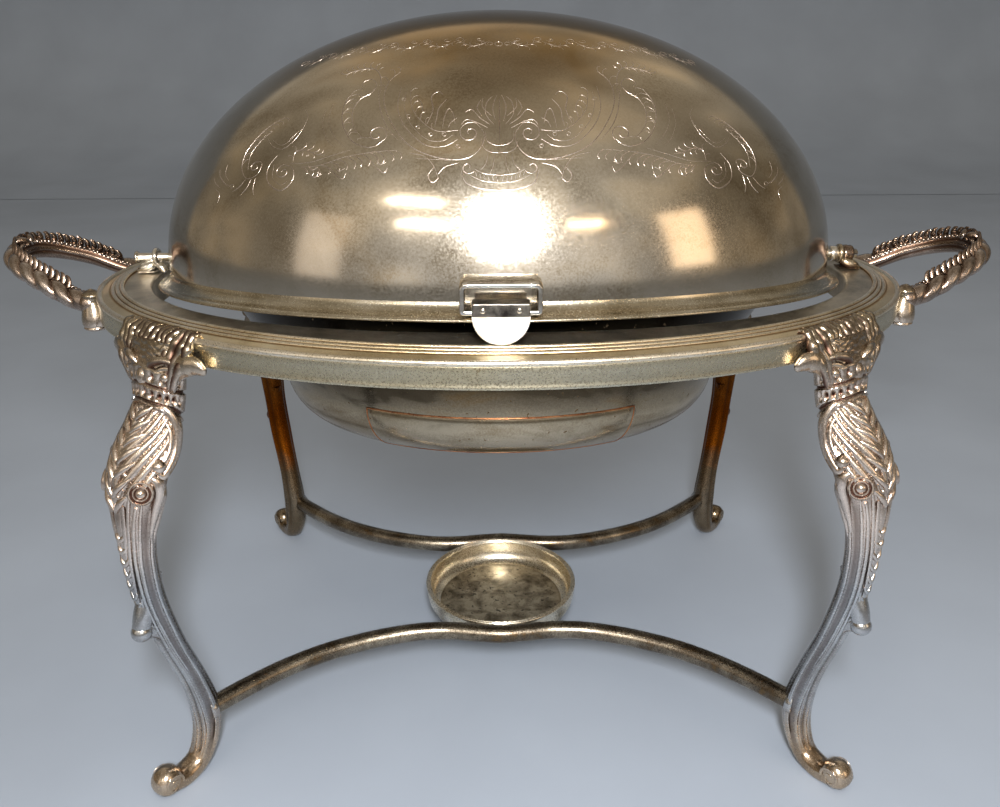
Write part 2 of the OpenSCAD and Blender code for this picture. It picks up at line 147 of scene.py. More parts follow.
def linked(name, data):
    """A new object with this data, in the scene."""
    made = bpy.data.objects.new(name, data)
    bpy.context.scene.collection.objects.link(made)
    return made


def unit(v):
    return v / np.maximum(np.linalg.norm(v, axis=-1, keepdims=True), 1e-9)


def smooth(x, start, end):
    t = np.clip((x - start) / (end - start), 0, 1)
    return t * t * (3 - 2 * t)


def taper(count, stops, sizes):
    """Sizes at evenly spaced places along a part, between stops from 0 to 1."""
    return np.interp(np.linspace(0, 1, count), stops, sizes)


def window(x, start, end, soft):
    return smooth(x, start - soft, start + soft) * (1 - smooth(x, end - soft, end + soft))


def oval(a, b, count, power=2.0):
    t = np.arange(count) * TAU / count
    c, s = np.cos(t), np.sin(t)
    return np.stack([a * np.sign(c) * np.abs(c) ** (2 / power), b * np.sign(s) * np.abs(s) ** (2 / power)], 1)


def oval_levels(levels, count=300):
    """Ovals of (half length, half width, height), one above the other."""
    return np.stack([np.concatenate([oval(a, b, count), np.full((count, 1), z)], 1) for a, b, z in levels])


def leaned(points):
    """Points given about the pivot axis, turned by the lid's lean and put at the axis height."""
    p = np.asarray(points, float)
    y = p[..., 1] * math.cos(LEAN) + p[..., 2] * math.sin(LEAN)
    z = -p[..., 1] * math.sin(LEAN) + p[..., 2] * math.cos(LEAN) + AXIS_Z
    return np.stack([p[..., 0], y, z], -1)


class Shape:
    """Gathers closed parts in millimetres, with a relief value at each point: 0 in a recess, 1 on top."""

    def __init__(self):
        self.points, self.faces, self.relief, self.count = [], [], [], 0

    def put(self, points, faces, relief):
        points = np.asarray(points, float).reshape(-1, 3)
        relief = np.broadcast_to(np.asarray(relief, float).reshape(-1), (len(points),))
        self.points.append(points)
        self.relief.append(relief)
        self.faces.extend([tuple(int(i) + self.count for i in f) for f in faces])
        self.count += len(points)

    def rings(self, grid, relief=0.5, ends="cap"):
        """Rings of points, grid[ring, point, xyz]. ends: cap closes both, loop joins last to first."""
        rows, cols = grid.shape[:2]
        r = np.arange(rows if ends == "loop" else rows - 1)[:, None]
        c = np.arange(cols)[None, :]
        n = (r + 1) % rows
        m = (c + 1) % cols
        quads = np.stack(np.broadcast_arrays(r * cols + c, r * cols + m, n * cols + m, n * cols + c),
                         -1).reshape(-1, 4)
        points = grid.reshape(-1, 3)
        values = np.broadcast_to(np.asarray(relief, float), grid.shape[:2]).reshape(-1)
        faces = quads.tolist()
        if ends == "cap":
            total = rows * cols
            points = np.concatenate([points, [grid[0].mean(0)], [grid[-1].mean(0)]])
            values = np.concatenate([values, [values[:cols].mean()], [values[-cols:].mean()]])
            faces += [[total, (k + 1) % cols, k] for k in range(cols)]
            start = (rows - 1) * cols
            faces += [[total + 1, start + k, start + (k + 1) % cols] for k in range(cols)]
        self.put(points, faces, values)

    def tube(self, path, radii, up=None, flat=1.0, sides=10, relief=None):
        """A closed round bar along a path. up: normals of the surface it lies on; flat: height over width."""
        path = np.asarray(path, float)
        radii = np.broadcast_to(np.asarray(radii, float), (len(path),))
        along = unit(np.gradient(path, axis=0))
        if up is None:
            up = np.zeros_like(path)
            now = np.array([0, 0, 1.0]) if abs(along[0, 2]) < 0.9 else np.array([1.0, 0, 0])
            for i, t in enumerate(along):
                now = now - t * now.dot(t)
                now = now / np.linalg.norm(now)
                up[i] = now
        side = unit(np.cross(along, up))
        top = np.cross(side, along)
        a = np.arange(sides) * TAU / sides
        off = side[:, None] * np.cos(a)[None, :, None] + top[:, None] * (np.sin(a) * flat)[None, :, None]
        grid = path[:, None] + off * radii[:, None, None]
        value = (0.5 + 0.5 * np.sin(a))[None, :] if relief is None else relief
        self.rings(grid, np.broadcast_to(value, grid.shape[:2]))

    def ball(self, centre, radius, size=(1, 1, 1), turn=0.0, relief=0.9, rings=9, cols=14):
        """A closed rounded bead, stretched by size and turned about Z."""
        v = np.linspace(-math.pi / 2 * 0.94, math.pi / 2 * 0.94, rings)
        t = np.arange(cols) * TAU / cols
        p = np.stack([np.cos(v)[:, None] * np.cos(t), np.cos(v)[:, None] * np.sin(t),
                      np.sin(v)[:, None] * np.ones(cols)], -1) * np.array(size) * radius
        c, s = math.cos(turn), math.sin(turn)
        p = np.stack([p[..., 0] * c - p[..., 1] * s, p[..., 0] * s + p[..., 1] * c, p[..., 2]], -1)
        self.rings(p + np.asarray(centre, float), relief)

    def lathe(self, profile, centre, axis, cols=64, relief=0.5, ends="cap"):
        """A closed turned part. profile: (along the axis, radius) points; ends: loop if it has a bore."""
        axis = unit(np.asarray(axis, float))
        side = unit(np.cross(axis, [0.3, 0.5, 0.81]))
        other = np.cross(axis, side)
        t = np.arange(cols) * TAU / cols
        round_ = side * np.cos(t)[:, None] + other * np.sin(t)[:, None]
        prof = np.asarray(profile, float)
        grid = np.asarray(centre, float) + prof[:, 0, None, None] * axis + prof[:, 1, None,
                None] * round_[None]
        self.rings(grid, relief if np.ndim(relief) == 0 else np.asarray(relief, float)[:, None], ends)

    def mesh(self, name, material):
        data = bpy.data.meshes.new(name)
        points = np.concatenate(self.points) * MM
        data.from_pydata(points.tolist(), [], self.faces)
        layer = data.attributes.new("relief", "FLOAT", "POINT")
        layer.data.foreach_set("value", np.concatenate(self.relief).astype(np.float32))
        tidy = bmesh.new()
        tidy.from_mesh(data)
        bmesh.ops.recalc_face_normals(tidy, faces=tidy.faces)
        tidy.to_mesh(data)
        tidy.free()
        data.materials.append(material)
        data.polygons.foreach_set("use_smooth", [True] * len(data.polygons))
        data.set_sharp_from_angle(angle=math.radians(50))
        data.update()
        return linked(name, data)

    def settle(self, name, finish, body, nodes, slot):
        """Makes the mesh in a finish and settles it."""
        settle(self.mesh(name, finishes()[finish]), body, nodes)


def settle(thing, body, nodes):
    """Puts a finished piece on its body, in place of the CAD nodes it stands for."""
    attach(thing, body)
    if nodes:
        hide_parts(*nodes)
    return thing


# ---------- nodes ----------

def add(tree, kind, values=None, links=None, **settings):
    """Adds a node with its settings, socket values and links from other nodes' outputs."""
    made = tree.nodes.new(kind)
    for key, value in settings.items():
        setattr(made, key, value)
    for key, value in (values or {}).items():
        made.inputs[key].default_value = value
    for key, output in (links or {}).items():
        tree.links.new(output, made.inputs[key])
    return made


def ramp(tree, stops, source):
    """A colour ramp from (position, hex or linear colour) stops."""
    made = add(tree, "ShaderNodeValToRGB", links={"Fac": source})
    elements = made.color_ramp.elements
    while len(elements) < len(stops):
        elements.new(0.5)
    for element, (place, colour) in zip(elements, stops):
        element.position = place
        rgb = linear(colour) if isinstance(colour, str) else tuple(colour)
        element.color = (*rgb, 1)
    return made.outputs["Color"]


def plated(name, patches, patch_mm, grain_mm, rough, recess=None, height=None, bump_mm=0.03, pits=None,
           streak=None):
    """A plated or tarnished metal. patches: stops of its tarnish from worn to clean; rough: roughness range;
    recess: stops multiplied in by the relief value; height: (stops, z from, z to), multiplied in by height in
    mm; pits: (cell in mm, share, colour) of spots; streak: stretch of the patches along each axis."""
    made = bpy.data.materials.new(name)
    made.use_nodes = True
    tree = made.node_tree
    tree.nodes.clear()
    out = add(tree, "ShaderNodeOutputMaterial")
    where = add(tree, "ShaderNodeTexCoord").outputs["Object"]
    if streak:
        where_patch = add(tree, "ShaderNodeMapping", {"Scale": streak}, {"Vector": where}).outputs["Vector"]
    else:
        where_patch = where
    cloud = add(tree, "ShaderNodeTexNoise", {"Scale": 1000 / patch_mm, "Detail": 6.0, "Roughness": 0.6,
                                             "Distortion": 0.4},
                {"Vector": where_patch})
    grain = add(tree, "ShaderNodeTexNoise", {"Scale": 1000 / grain_mm, "Detail": 3.0, "Roughness": 0.65},
                {"Vector": where})
    blend = add(tree, "ShaderNodeMath", {1: 0.72}, {0: cloud.outputs["Fac"]}, operation="MULTIPLY")
    blend = add(tree, "ShaderNodeMath", {1: 0.28, }, {0: grain.outputs["Fac"], 2: blend.outputs[0]},
                operation="MULTIPLY_ADD")
    colour = ramp(tree, patches, blend.outputs[0])
    if height:
        stops, z0, z1 = height
        z = add(tree, "ShaderNodeSeparateXYZ", links={0: where}).outputs["Z"]
        wave = add(tree, "ShaderNodeMath", {1: 0.05, }, {0: cloud.outputs["Fac"], 2: z},
                   operation="MULTIPLY_ADD")
        level = add(tree, "ShaderNodeMapRange", {"From Min": z0 * MM + 0.025, "From Max": z1 * MM + 0.025},
                    {"Value": wave.outputs[0]})
        tint = ramp(tree, stops, level.outputs["Result"])
        colour = add(tree, "ShaderNodeMix", {0: 1.0}, {6: colour, 7: tint}, data_type="RGBA",
                     blend_type="MULTIPLY").outputs[2]
    roughness = add(tree, "ShaderNodeMapRange", {"From Min": 0.3, "From Max": 0.7, "To Min": rough[0],
                                                 "To Max": rough[1]},
                    {"Value": grain.outputs["Fac"]}).outputs["Result"]
    if recess:
        relief = add(tree, "ShaderNodeAttribute", attribute_name="relief").outputs["Fac"]
        jitter = add(tree, "ShaderNodeMath", {1: 0.16, }, {0: grain.outputs["Fac"], 2: relief},
                     operation="MULTIPLY_ADD")
        jitter = add(tree, "ShaderNodeMath", {1: 0.08}, {0: jitter.outputs[0]}, operation="SUBTRACT")
        dark = ramp(tree, recess, jitter.outputs[0])
        colour = add(tree, "ShaderNodeMix", {0: 1.0}, {6: colour, 7: dark}, data_type="RGBA",
                     blend_type="MULTIPLY").outputs[2]
        dull = add(tree, "ShaderNodeMapRange", {"From Min": 0.1, "From Max": 0.6, "To Min": 0.3,
                                                "To Max": 0.0},
                   {"Value": relief}).outputs["Result"]
        roughness = add(tree, "ShaderNodeMath", links={0: roughness, 1: dull}, operation="ADD").outputs[0]
    if pits:
        # Spots of salt or soot: the cell size in mm, how much of the surface they take, their colour
        cell_mm, share, spot = pits
        cells = add(tree, "ShaderNodeTexNoise", {"Scale": 1000 / cell_mm, "Detail": 2.0, "Roughness": 0.7},
                    {"Vector": where})
        mask = add(tree, "ShaderNodeMapRange", {"From Min": share, "From Max": share + 0.05},
                   {"Value": cells.outputs["Fac"]})
        colour = add(tree, "ShaderNodeMix", {7: (*linear(spot), 1)}, {0: mask.outputs["Result"], 6: colour},
                     data_type="RGBA").outputs[2]
        roughness = add(tree, "ShaderNodeMath", {1: 0.3}, {0: mask.outputs["Result"], 2: roughness},
                        operation="MULTIPLY_ADD").outputs[0]
    bump = add(tree, "ShaderNodeBump", {"Strength": 0.6, "Distance": bump_mm * MM},
               {"Height": grain.outputs["Fac"]})
    shader = add(tree, "ShaderNodeBsdfPrincipled", {"Metallic": 1.0},
                 {"Base Color": colour, "Roughness": roughness, "Normal": bump.outputs["Normal"]})
    tree.links.new(shader.outputs[0], out.inputs["Surface"])
    return made


def finishes():
    """All finishes, made once."""
    if "raised silver plate with painted golden top" in bpy.data.materials:
        return bpy.data.materials
    f = bpy.context.scene.chafer_finishes
    # Silver plate on a raised sheet: mirror polish gone mottled in patches 60 mm wide, with a painted
    # golden-brown reflection of a warm room darkening it towards the top
    plated("raised silver plate with painted golden top", [(0.34, "#B5A68E"), (0.46, f.plate), (0.6, "#E6E0D6")], 60, 1.2,
           (0.1, 0.19),
           height=([(0.0, "#FBF9F6"), (0.5, "#F4F0E9"), (0.76, "#E8DFD0"), (0.92, f.tarnish),
                    (1.0, "#A08A64")], 296, 452),
           bump_mm=0.006)
    # Engraved line: a burin's bright cut, whiter than the plate round it
    plated("burin-cut silver", [(0.35, "#B0A093"), (0.6, "#E2D2C6")], 30, 0.8, (0.24, 0.36))
    # Soldered rim, olive in tone: a painted reflection of the room
    plated("rim plate with painted olive reflection", [(0.35, "#9E937C"), (0.5, "#C4BAA4"), (0.65, "#D6CEBC")], 25, 1.0,
           (0.16, 0.3),
           bump_mm=0.015)
    # Deck sheet: charcoal tarnish with white salt spots about 0.7 mm across
    plated("salt-spotted deck plate", [(0.35, "#8E8473"), (0.5, "#BCB09C"), (0.65, "#DDD2BE")], 22, 0.9,
           (0.28, 0.46),
           pits=(1.7, 0.64, "#D5D2C8"), bump_mm=0.03)
    # Drawn border: olive silver with red-brown lines between the reeds
    plated("drawn reeded plate", [(0.36, "#CDC0A8"), (0.5, "#EBE0CC"), (0.64, "#F6F0E4")], 35, 0.8,
           (0.24, 0.4),
           recess=[(0.0, "#5E4430"), (0.25, "#8F7A5C"), (0.5, "#E8E0CC"), (1.0, "#FFFFFF")])
    # Skirt: plate rubbed through to yellow brass in places
    plated("brassy skirt plate", [(0.3, "#B08A3E"), (0.4, f.skirt), (0.52, "#CFC6AE"), (0.66, "#BDB9A8")], 48,
           1.0, (0.22, 0.36),
           streak=(0.5, 0.5, 1.4))
    # Cast and plated legs: pinkish silver on the ridges, red-brown tarnish in the recesses, golden toe
    plated("cast silver plate", [(0.34, "#C6BCB4"), (0.5, f.casting), (0.64, "#FAF5F0")], 30, 0.9,
           (0.14, 0.3),
           recess=[(0.0, f.recess), (0.2, "#86706A"), (0.42, "#C2BCB8"), (0.7, "#ECE7E2"), (1.0, "#FFFCF8")],
           height=([(0.0, "#E0D0B8"), (0.08, "#E0D8CC"), (0.15, "#CED7E0"), (0.5, "#CCD5DE"),
                    (0.66, "#F8F0EA"), (0.9, "#F2EAE2"), (1.0, "#C6BEAC")], 0, 292),
           bump_mm=0.04, pits=(2.2, 0.7, "#8C8A84"))
    # Handles: the same castings rubbed to a coppery tone
    plated("coppery cast plate", [(0.34, "#82756B"), (0.5, "#AA9C91"), (0.64, "#CEC4BC")], 22, 0.8,
           (0.16, 0.32),
           recess=[(0.0, "#4A3228"), (0.25, "#826A5C"), (0.5, "#C4B6AA"), (0.75, "#EEE6E0"),
                   (1.0, "#FFFFFF")], bump_mm=0.04)
    # Rear legs' upper part catches the burner's heat: the plate is amber there
    plated("heat-stained cast plate", [(0.34, "#9A9084"), (0.5, "#C4BCB0"), (0.64, "#DCD6CC")], 26, 0.9,
           (0.18, 0.34),
           recess=[(0.0, "#3A2012"), (0.3, "#A08468"), (0.6, "#E8DCCC"), (1.0, "#FFFFFF")],
           height=([(0.0, "#C4B8A4"), (0.16, "#A8A49E"), (0.25, "#94897A"), (0.32, "#A8661E"),
                    (0.44, "#8A4C10"), (0.56, "#8E5E2C"), (0.72, "#B4A48E"), (1.0, "#BCB2A4")], 0, 290),
           bump_mm=0.05)
    # Stretcher tube: dark tarnish with streaks where brass shows
    plated("dark plated tube", [(0.32, "#8A6A3C"), (0.42, "#5C5348"), (0.55, "#857B6C"), (0.66, "#A39A8A")],
           16, 0.8, (0.2, 0.38),
           pits=(2.4, 0.68, "#3A2E24"), bump_mm=0.03)
    # Burner cup: pale gold spun brass
    plated("pale gold spun plate", [(0.34, "#C4B69A"), (0.5, "#E2D9C6"), (0.64, "#F0E9DC")], 30, 0.8,
           (0.2, 0.34),
           streak=(1, 1, 3), bump_mm=0.02)
    # Floor of the cup: smoky residue in blotches 14 mm wide
    plated("smoky cup floor", [(0.36, "#4E4638"), (0.46, "#8E8472"), (0.58, "#C6BCA6"), (0.68, "#7C766A")],
           14, 0.7, (0.32, 0.5),
           pits=(3.0, 0.62, "#3E3C36"))
    # Pan: tinned sheet, mottled grey with brown patches, and painted shade darkening it to near black towards
    # the top, under the deck
    plated("mottled tinned sheet with painted top shade", [(0.34, "#8A7658"), (0.46, "#A89E8C"), (0.56, "#C8C0B0"),
                                    (0.68, "#B4AC9C")], 28, 1.0, (0.12, 0.26),
           height=([(0.0, "#FFF8EE"), (0.3, "#EDE4D6"), (0.5, "#6E6558"), (0.8, "#3E382E"), (0.95, "#1E1A14"),
                    (1.0, "#14110D")], 198, 298),
           streak=(0.6, 0.6, 1.5), pits=(4.5, 0.68, "#6E5C44"), bump_mm=0.012)
    # Edge line of the pan's panel: a raised line whose copper colour is a painted highlight
    plated("panel edge with painted copper highlight", [(0.4, "#8A5234"), (0.6, "#C48A60")], 12, 0.7, (0.25, 0.4))
    # Ferrule: black-brown tarnish
    plated("blackened ferrule", [(0.38, "#3C3834"), (0.5, "#6A655E"), (0.62, "#8E887E")], 9, 0.6,
           (0.25, 0.42))
    # Clean plate on pins and bosses
    plated("bright turned plate", [(0.38, "#B8B0A4"), (0.5, "#DAD4CA"), (0.62, "#EAE6DE")], 8, 0.6,
           (0.14, 0.26))
    # Ivory-coloured grip: warm white, polished, with faint grain lines 1.5 mm apart along its height
    made = bpy.data.materials.new("polished ivory-coloured grip")
    made.use_nodes = True
    tree = made.node_tree
    tree.nodes.clear()
    out = add(tree, "ShaderNodeOutputMaterial")
    where = add(tree, "ShaderNodeTexCoord").outputs["Object"]
    stretch = add(tree, "ShaderNodeMapping", {"Scale": (1, 1, 0.18)}, {"Vector": where})
    lines = add(tree, "ShaderNodeTexNoise", {"Scale": 1000 / 3.0, "Detail": 4.0},
                {"Vector": stretch.outputs[0]})
    cloud = add(tree, "ShaderNodeTexNoise", {"Scale": 1000 / 16.0, "Detail": 2.0}, {"Vector": where})
    both = add(tree, "ShaderNodeMath", {1: 0.4}, {0: lines.outputs["Fac"], 2: cloud.outputs["Fac"]},
               operation="MULTIPLY_ADD")
    colour = ramp(tree, [(0.45, "#D9CFBC"), (0.62, f.grip), (0.9, "#F8F5EE")], both.outputs[0])
    shader = add(tree, "ShaderNodeBsdfPrincipled", {"Roughness": 0.22, "IOR": 1.54, "Subsurface Weight": 0.15,
                 "Subsurface Radius": (0.003, 0.002, 0.0014), "Coat Weight": 0.25, "Coat Roughness": 0.1},
                 {"Base Color": colour})
    tree.links.new(shader.outputs[0], out.inputs["Surface"])
    # Painted floor: matt blue-grey with faint scuffs 120 mm wide
    made = bpy.data.materials.new("painted studio floor")
    made.use_nodes = True
    tree = made.node_tree
    tree.nodes.clear()
    out = add(tree, "ShaderNodeOutputMaterial")
    where = add(tree, "ShaderNodeTexCoord").outputs["Object"]
    cloud = add(tree, "ShaderNodeTexNoise", {"Scale": 1000 / 240.0, "Detail": 5.0}, {"Vector": where})
    base = np.array(f.floor)
    colour = ramp(tree, [(0.3, tuple(base * 0.93)), (0.7, tuple(np.minimum(base * 1.05, 1)))],
                  cloud.outputs["Fac"])
    shader = add(tree, "ShaderNodeBsdfPrincipled", {"Roughness": 0.6}, {"Base Color": colour})
    tree.links.new(shader.outputs[0], out.inputs["Surface"])
    return bpy.data.materials


def node_tree(name, sockets):
    """An empty Geometry Nodes tree with a geometry input and output and named value inputs."""
    tree = bpy.data.node_groups.new(name, "GeometryNodeTree")
    tree.interface.new_socket("Geometry", in_out="INPUT", socket_type="NodeSocketGeometry")
    for label, kind, default in sockets:
        socket = tree.interface.new_socket(label, in_out="INPUT", socket_type=kind)
        if default is not None:
            socket.default_value = default
    tree.interface.new_socket("Geometry", in_out="OUTPUT", socket_type="NodeSocketGeometry")
    return tree, add(tree, "NodeGroupInput"), add(tree, "NodeGroupOutput")


def run_tree(source, tree, values, name):
    """Runs a tree on a source object, keeps the result as a plain mesh and removes the source."""
    modifier = source.modifiers.new(tree.name, "NODES")
    modifier.node_group = tree
    for item in tree.interface.items_tree:
        if item.in_out == "INPUT" and item.name in values:
            modifier[item.identifier] = values[item.name]
    graph = bpy.context.evaluated_depsgraph_get()
    data = bpy.data.meshes.new_from_object(source.evaluated_get(graph), depsgraph=graph)
    data.name = name
    source.modifiers.remove(modifier)
    bpy.data.objects.remove(source)
    return linked(name, data)


def polyline(name, paths, radii):
    """A curve object of open poly splines, in millimetres; a radius of 1 keeps the profile's own size."""
    data = bpy.data.curves.new(name, "CURVE")
    data.dimensions = "3D"
    for path, radius in zip(paths, radii):
        spline = data.splines.new("POLY")
        spline.points.add(len(path) - 1)
        flat = np.concatenate([np.asarray(path) * MM, np.ones((len(path), 1))], 1)
        spline.points.foreach_set("co", flat.reshape(-1))
        spline.points.foreach_set("radius", np.broadcast_to(np.asarray(radius, float), (len(path),)))
    return linked(name, data)


RAISED = 0.85   # relief value of beads and bars made by a tree, as on a high part


def bar_tree():
    """Round bar along a path: the radius is an input, and each point's own radius scales it."""
    if "round bar along a path" in bpy.data.node_groups:
        return bpy.data.node_groups["round bar along a path"]
    tree, start, end = node_tree("round bar along a path", [
        ("Radius", "NodeSocketFloat", 0.001), ("Sides", "NodeSocketInt", 8),
        ("Finish", "NodeSocketMaterial", None)])
    ring = add(tree, "GeometryNodeCurvePrimitiveCircle", links={"Radius": start.outputs["Radius"],
               "Resolution": start.outputs["Sides"]})
    own = add(tree, "GeometryNodeInputRadius")
    bar = add(tree, "GeometryNodeCurveToMesh", {"Fill Caps": True}, {"Curve": start.outputs["Geometry"],
              "Profile Curve": ring.outputs["Curve"], "Scale": own.outputs["Radius"]})
    soft = add(tree, "GeometryNodeSetShadeSmooth", links={"Geometry": bar.outputs["Mesh"]})
    high_part = add(tree, "GeometryNodeStoreNamedAttribute", {"Name": "relief", "Value": RAISED},
                    {"Geometry": soft.outputs[0]})
    real = add(tree, "GeometryNodeRealizeInstances", links={"Geometry": high_part.outputs[0]})
    done = add(tree, "GeometryNodeSetMaterial", links={"Geometry": real.outputs[0],
                                                       "Material": start.outputs["Finish"]})
    tree.links.new(done.outputs[0], end.inputs[0])
    return tree


def bead_tree():
    """Beads at each point of a mesh of loose points; the radius is an input."""
    if "beads on points" in bpy.data.node_groups:
        return bpy.data.node_groups["beads on points"]
    tree, start, end = node_tree("beads on points", [
        ("Radius", "NodeSocketFloat", 0.001), ("Flatness", "NodeSocketVector", (1, 1, 1)),
        ("Finish", "NodeSocketMaterial", None)])
    ball = add(tree, "GeometryNodeMeshUVSphere", {"Segments": 14, "Rings": 8},
               {"Radius": start.outputs["Radius"]})
    put = add(tree, "GeometryNodeInstanceOnPoints", links={"Points": start.outputs["Geometry"],
              "Instance": ball.outputs["Mesh"], "Scale": start.outputs["Flatness"]})
    real = add(tree, "GeometryNodeRealizeInstances", links={"Geometry": put.outputs[0]})
    soft = add(tree, "GeometryNodeSetShadeSmooth", links={"Geometry": real.outputs[0]})
    soft = add(tree, "GeometryNodeStoreNamedAttribute", {"Name": "relief", "Value": RAISED},
               {"Geometry": soft.outputs[0]})
    done = add(tree, "GeometryNodeSetMaterial", links={"Geometry": soft.outputs[0],
                                                       "Material": start.outputs["Finish"]})
    tree.links.new(done.outputs[0], end.inputs[0])
    return tree


def beads(name, points, radius, finish, flatness=(1, 1, 1)):
    """Beads or rivet heads at points in millimetres."""
    data = bpy.data.meshes.new(name + " places")
    data.from_pydata((np.asarray(points) * MM).tolist(), [], [])
    source = linked(name + " places", data)
    return run_tree(source, bead_tree(), {"Radius": radius, "Flatness": flatness, "Finish": finish}, name)


# ---------- deck ----------

def deck_opening(count):
    """Outline of the opening: fuller than an ellipse in front, a plain ellipse behind."""
    t = np.arange(count) * TAU / count
    c, s = np.cos(t), np.sin(t)
    a, front, rear, power = DECK_A - BORDER_W - 18, 140.0, DECK_B - BORDER_W - 1, 2.2
    back = np.stack([a * c, rear * s], 1)
    fore = np.stack([a * np.sign(c) * np.abs(c) ** (2 / power),
                     front * np.sign(s) * np.abs(s) ** (2 / power)], 1)
    return np.where((s >= 0)[:, None], back, fore)


def oval_sweep(shape, profile, count, relief):
    """Sweeps a closed profile of (offset from the deck's edge, height) round the deck's oval."""
    grid = oval_levels([(DECK_A + off, DECK_B + off, z) for off, z in profile], count)
    shape.rings(grid, np.asarray(relief)[:, None], ends="loop")


def build_deck():
    f = finishes()
    count = 480
    hole = deck_opening(count)
    rim = oval(DECK_A - BORDER_W + 0.4, DECK_B - BORDER_W + 0.4, count)
    # Share of the way from the opening to the border, inset from the opening in mm, height
    drop = low("deck_plate")[2] - DECK_Z
    section = [(0, 0.0, drop), (0, 0.1, -2.0), (0, 0.0, -0.9), (0, 0.3, -0.25), (0, 1.0, 0.15),
               (0, 2.2, 0.28), (0, 3.4, 0.12),
               (0, 4.4, 0.0), (0.35, 4, 0), (0.7, 2, 0), (1, 0, 0), (1, 0, -1.4), (0.6, 2, -1.4),
               (0, 2.6, -1.4), (0, 1.2, -1.9), (0, 1.2, drop)]
    outward = unit(rim - hole)
    grid = np.stack([np.concatenate([hole + (rim - hole) * share + outward * inset,
                                     np.full((count, 1), DECK_Z + z)], 1)
                     for share, inset, z in section])
    shape = Shape()
    shape.rings(grid, 0.5, ends="loop")
    settle(shape.mesh("deck_sheet", f["salt-spotted deck plate"]), "stand", ["deck_plate"])

    # Border: three reeds, a plain slope and a bead
    base = DECK_Z - 1.4
    lift = bpy.context.scene.chafer_sizes.reed_height / MM
    profile, relief = [(-BORDER_W, base)], [0.3]
    for i in range(3):
        centre, level = -BORDER_W + 1.4 + 2.8 * i, DECK_Z + 1.1 - 0.8 * i
        for k in range(9):
            t = math.pi * (1 - k / 8)
            rise = math.sin(t)
            profile.append((centre + 1.38 * math.cos(t), level - 0.25 + (lift + 0.25) * rise))
            relief.append(0.02 + 0.95 * rise ** 0.7)
    for k in range(5):
        t = k / 4
        profile.append((-8.3 + 4.9 * t, DECK_Z - 0.75 - (base - 1.0 - DECK_Z + 0.75) * -t))
        relief.append(0.55 if k else 0.2)
    profile += [(-3.35, base - 1.9)]
    relief += [0.02]
    for k in range(13):
        t = math.radians(165 - 19.5 * k)
        profile.append((-1.6 + 1.9 * math.cos(t), max(base - 1.7 + 1.9 * math.sin(t), base - 3.5)))
        relief.append(0.3 if k in (0, 12) else 0.95)
    profile += [(-1.9, base - 3.5), (-4, base - 2.6), (-9, base - 1.6), (-BORDER_W + 0.2, base - 0.9)]
    relief += [0.3] * 4
    shape = Shape()
    oval_sweep(shape, profile, count, relief)
    settle(shape.mesh("reeded_border", f["drawn reeded plate"]), "stand", ["reeded_border"])

    # Skirt with a rolled lower edge
    z1, z0 = high("skirt_band")[2] + 0.3, low("skirt_band")[2]
    outline = [(-1.7, z1), (-0.25, z1), (-0.1, z1 - 0.6), (-0.25, z1 - 3), (-0.3, z0 + 4), (-0.2, z0 + 2.2),
               (-0.02, z0 + 1.6),
               (0, z0 + 0.9), (-0.15, z0 + 0.3), (-0.6, z0), (-1.2, z0 + 0.1), (-1.7, z0 + 0.8),
               (-1.7, z0 + 6)]
    shape = Shape()
    oval_sweep(shape, outline, count, [0.5] * len(outline))
    shape.settle("skirt_band", "brassy skirt plate", "stand", ["skirt_band"], "skirt_brassy")


# ---------- legs ----------

LEG_ANGLE = math.radians(55)
# Middle line of a leg: distance out from the skirt, height, half width and half depth
LEG_LINE = [
    [2, 289, 17, 6], [3, 276, 19, 9], [4, 262, 16, 10], [6, 252, 14.5, 10.5], [13, 238, 17, 12],
    [21, 225, 18.5, 13.5], [27, 212, 18, 13.5], [30, 200, 15, 11.5], [32, 183, 11.5, 9.5],
    [33, 164, 9.5, 8.5], [31, 138, 8, 8], [24, 105, 8, 7.5], [14, 72, 7, 7], [9, 46, 7.5, 7.5],
    [10, 26, 7.5, 7], [18, 10, 7, 6], [30, 4.6, 7, 6], [41, 6.5, 7, 6]]


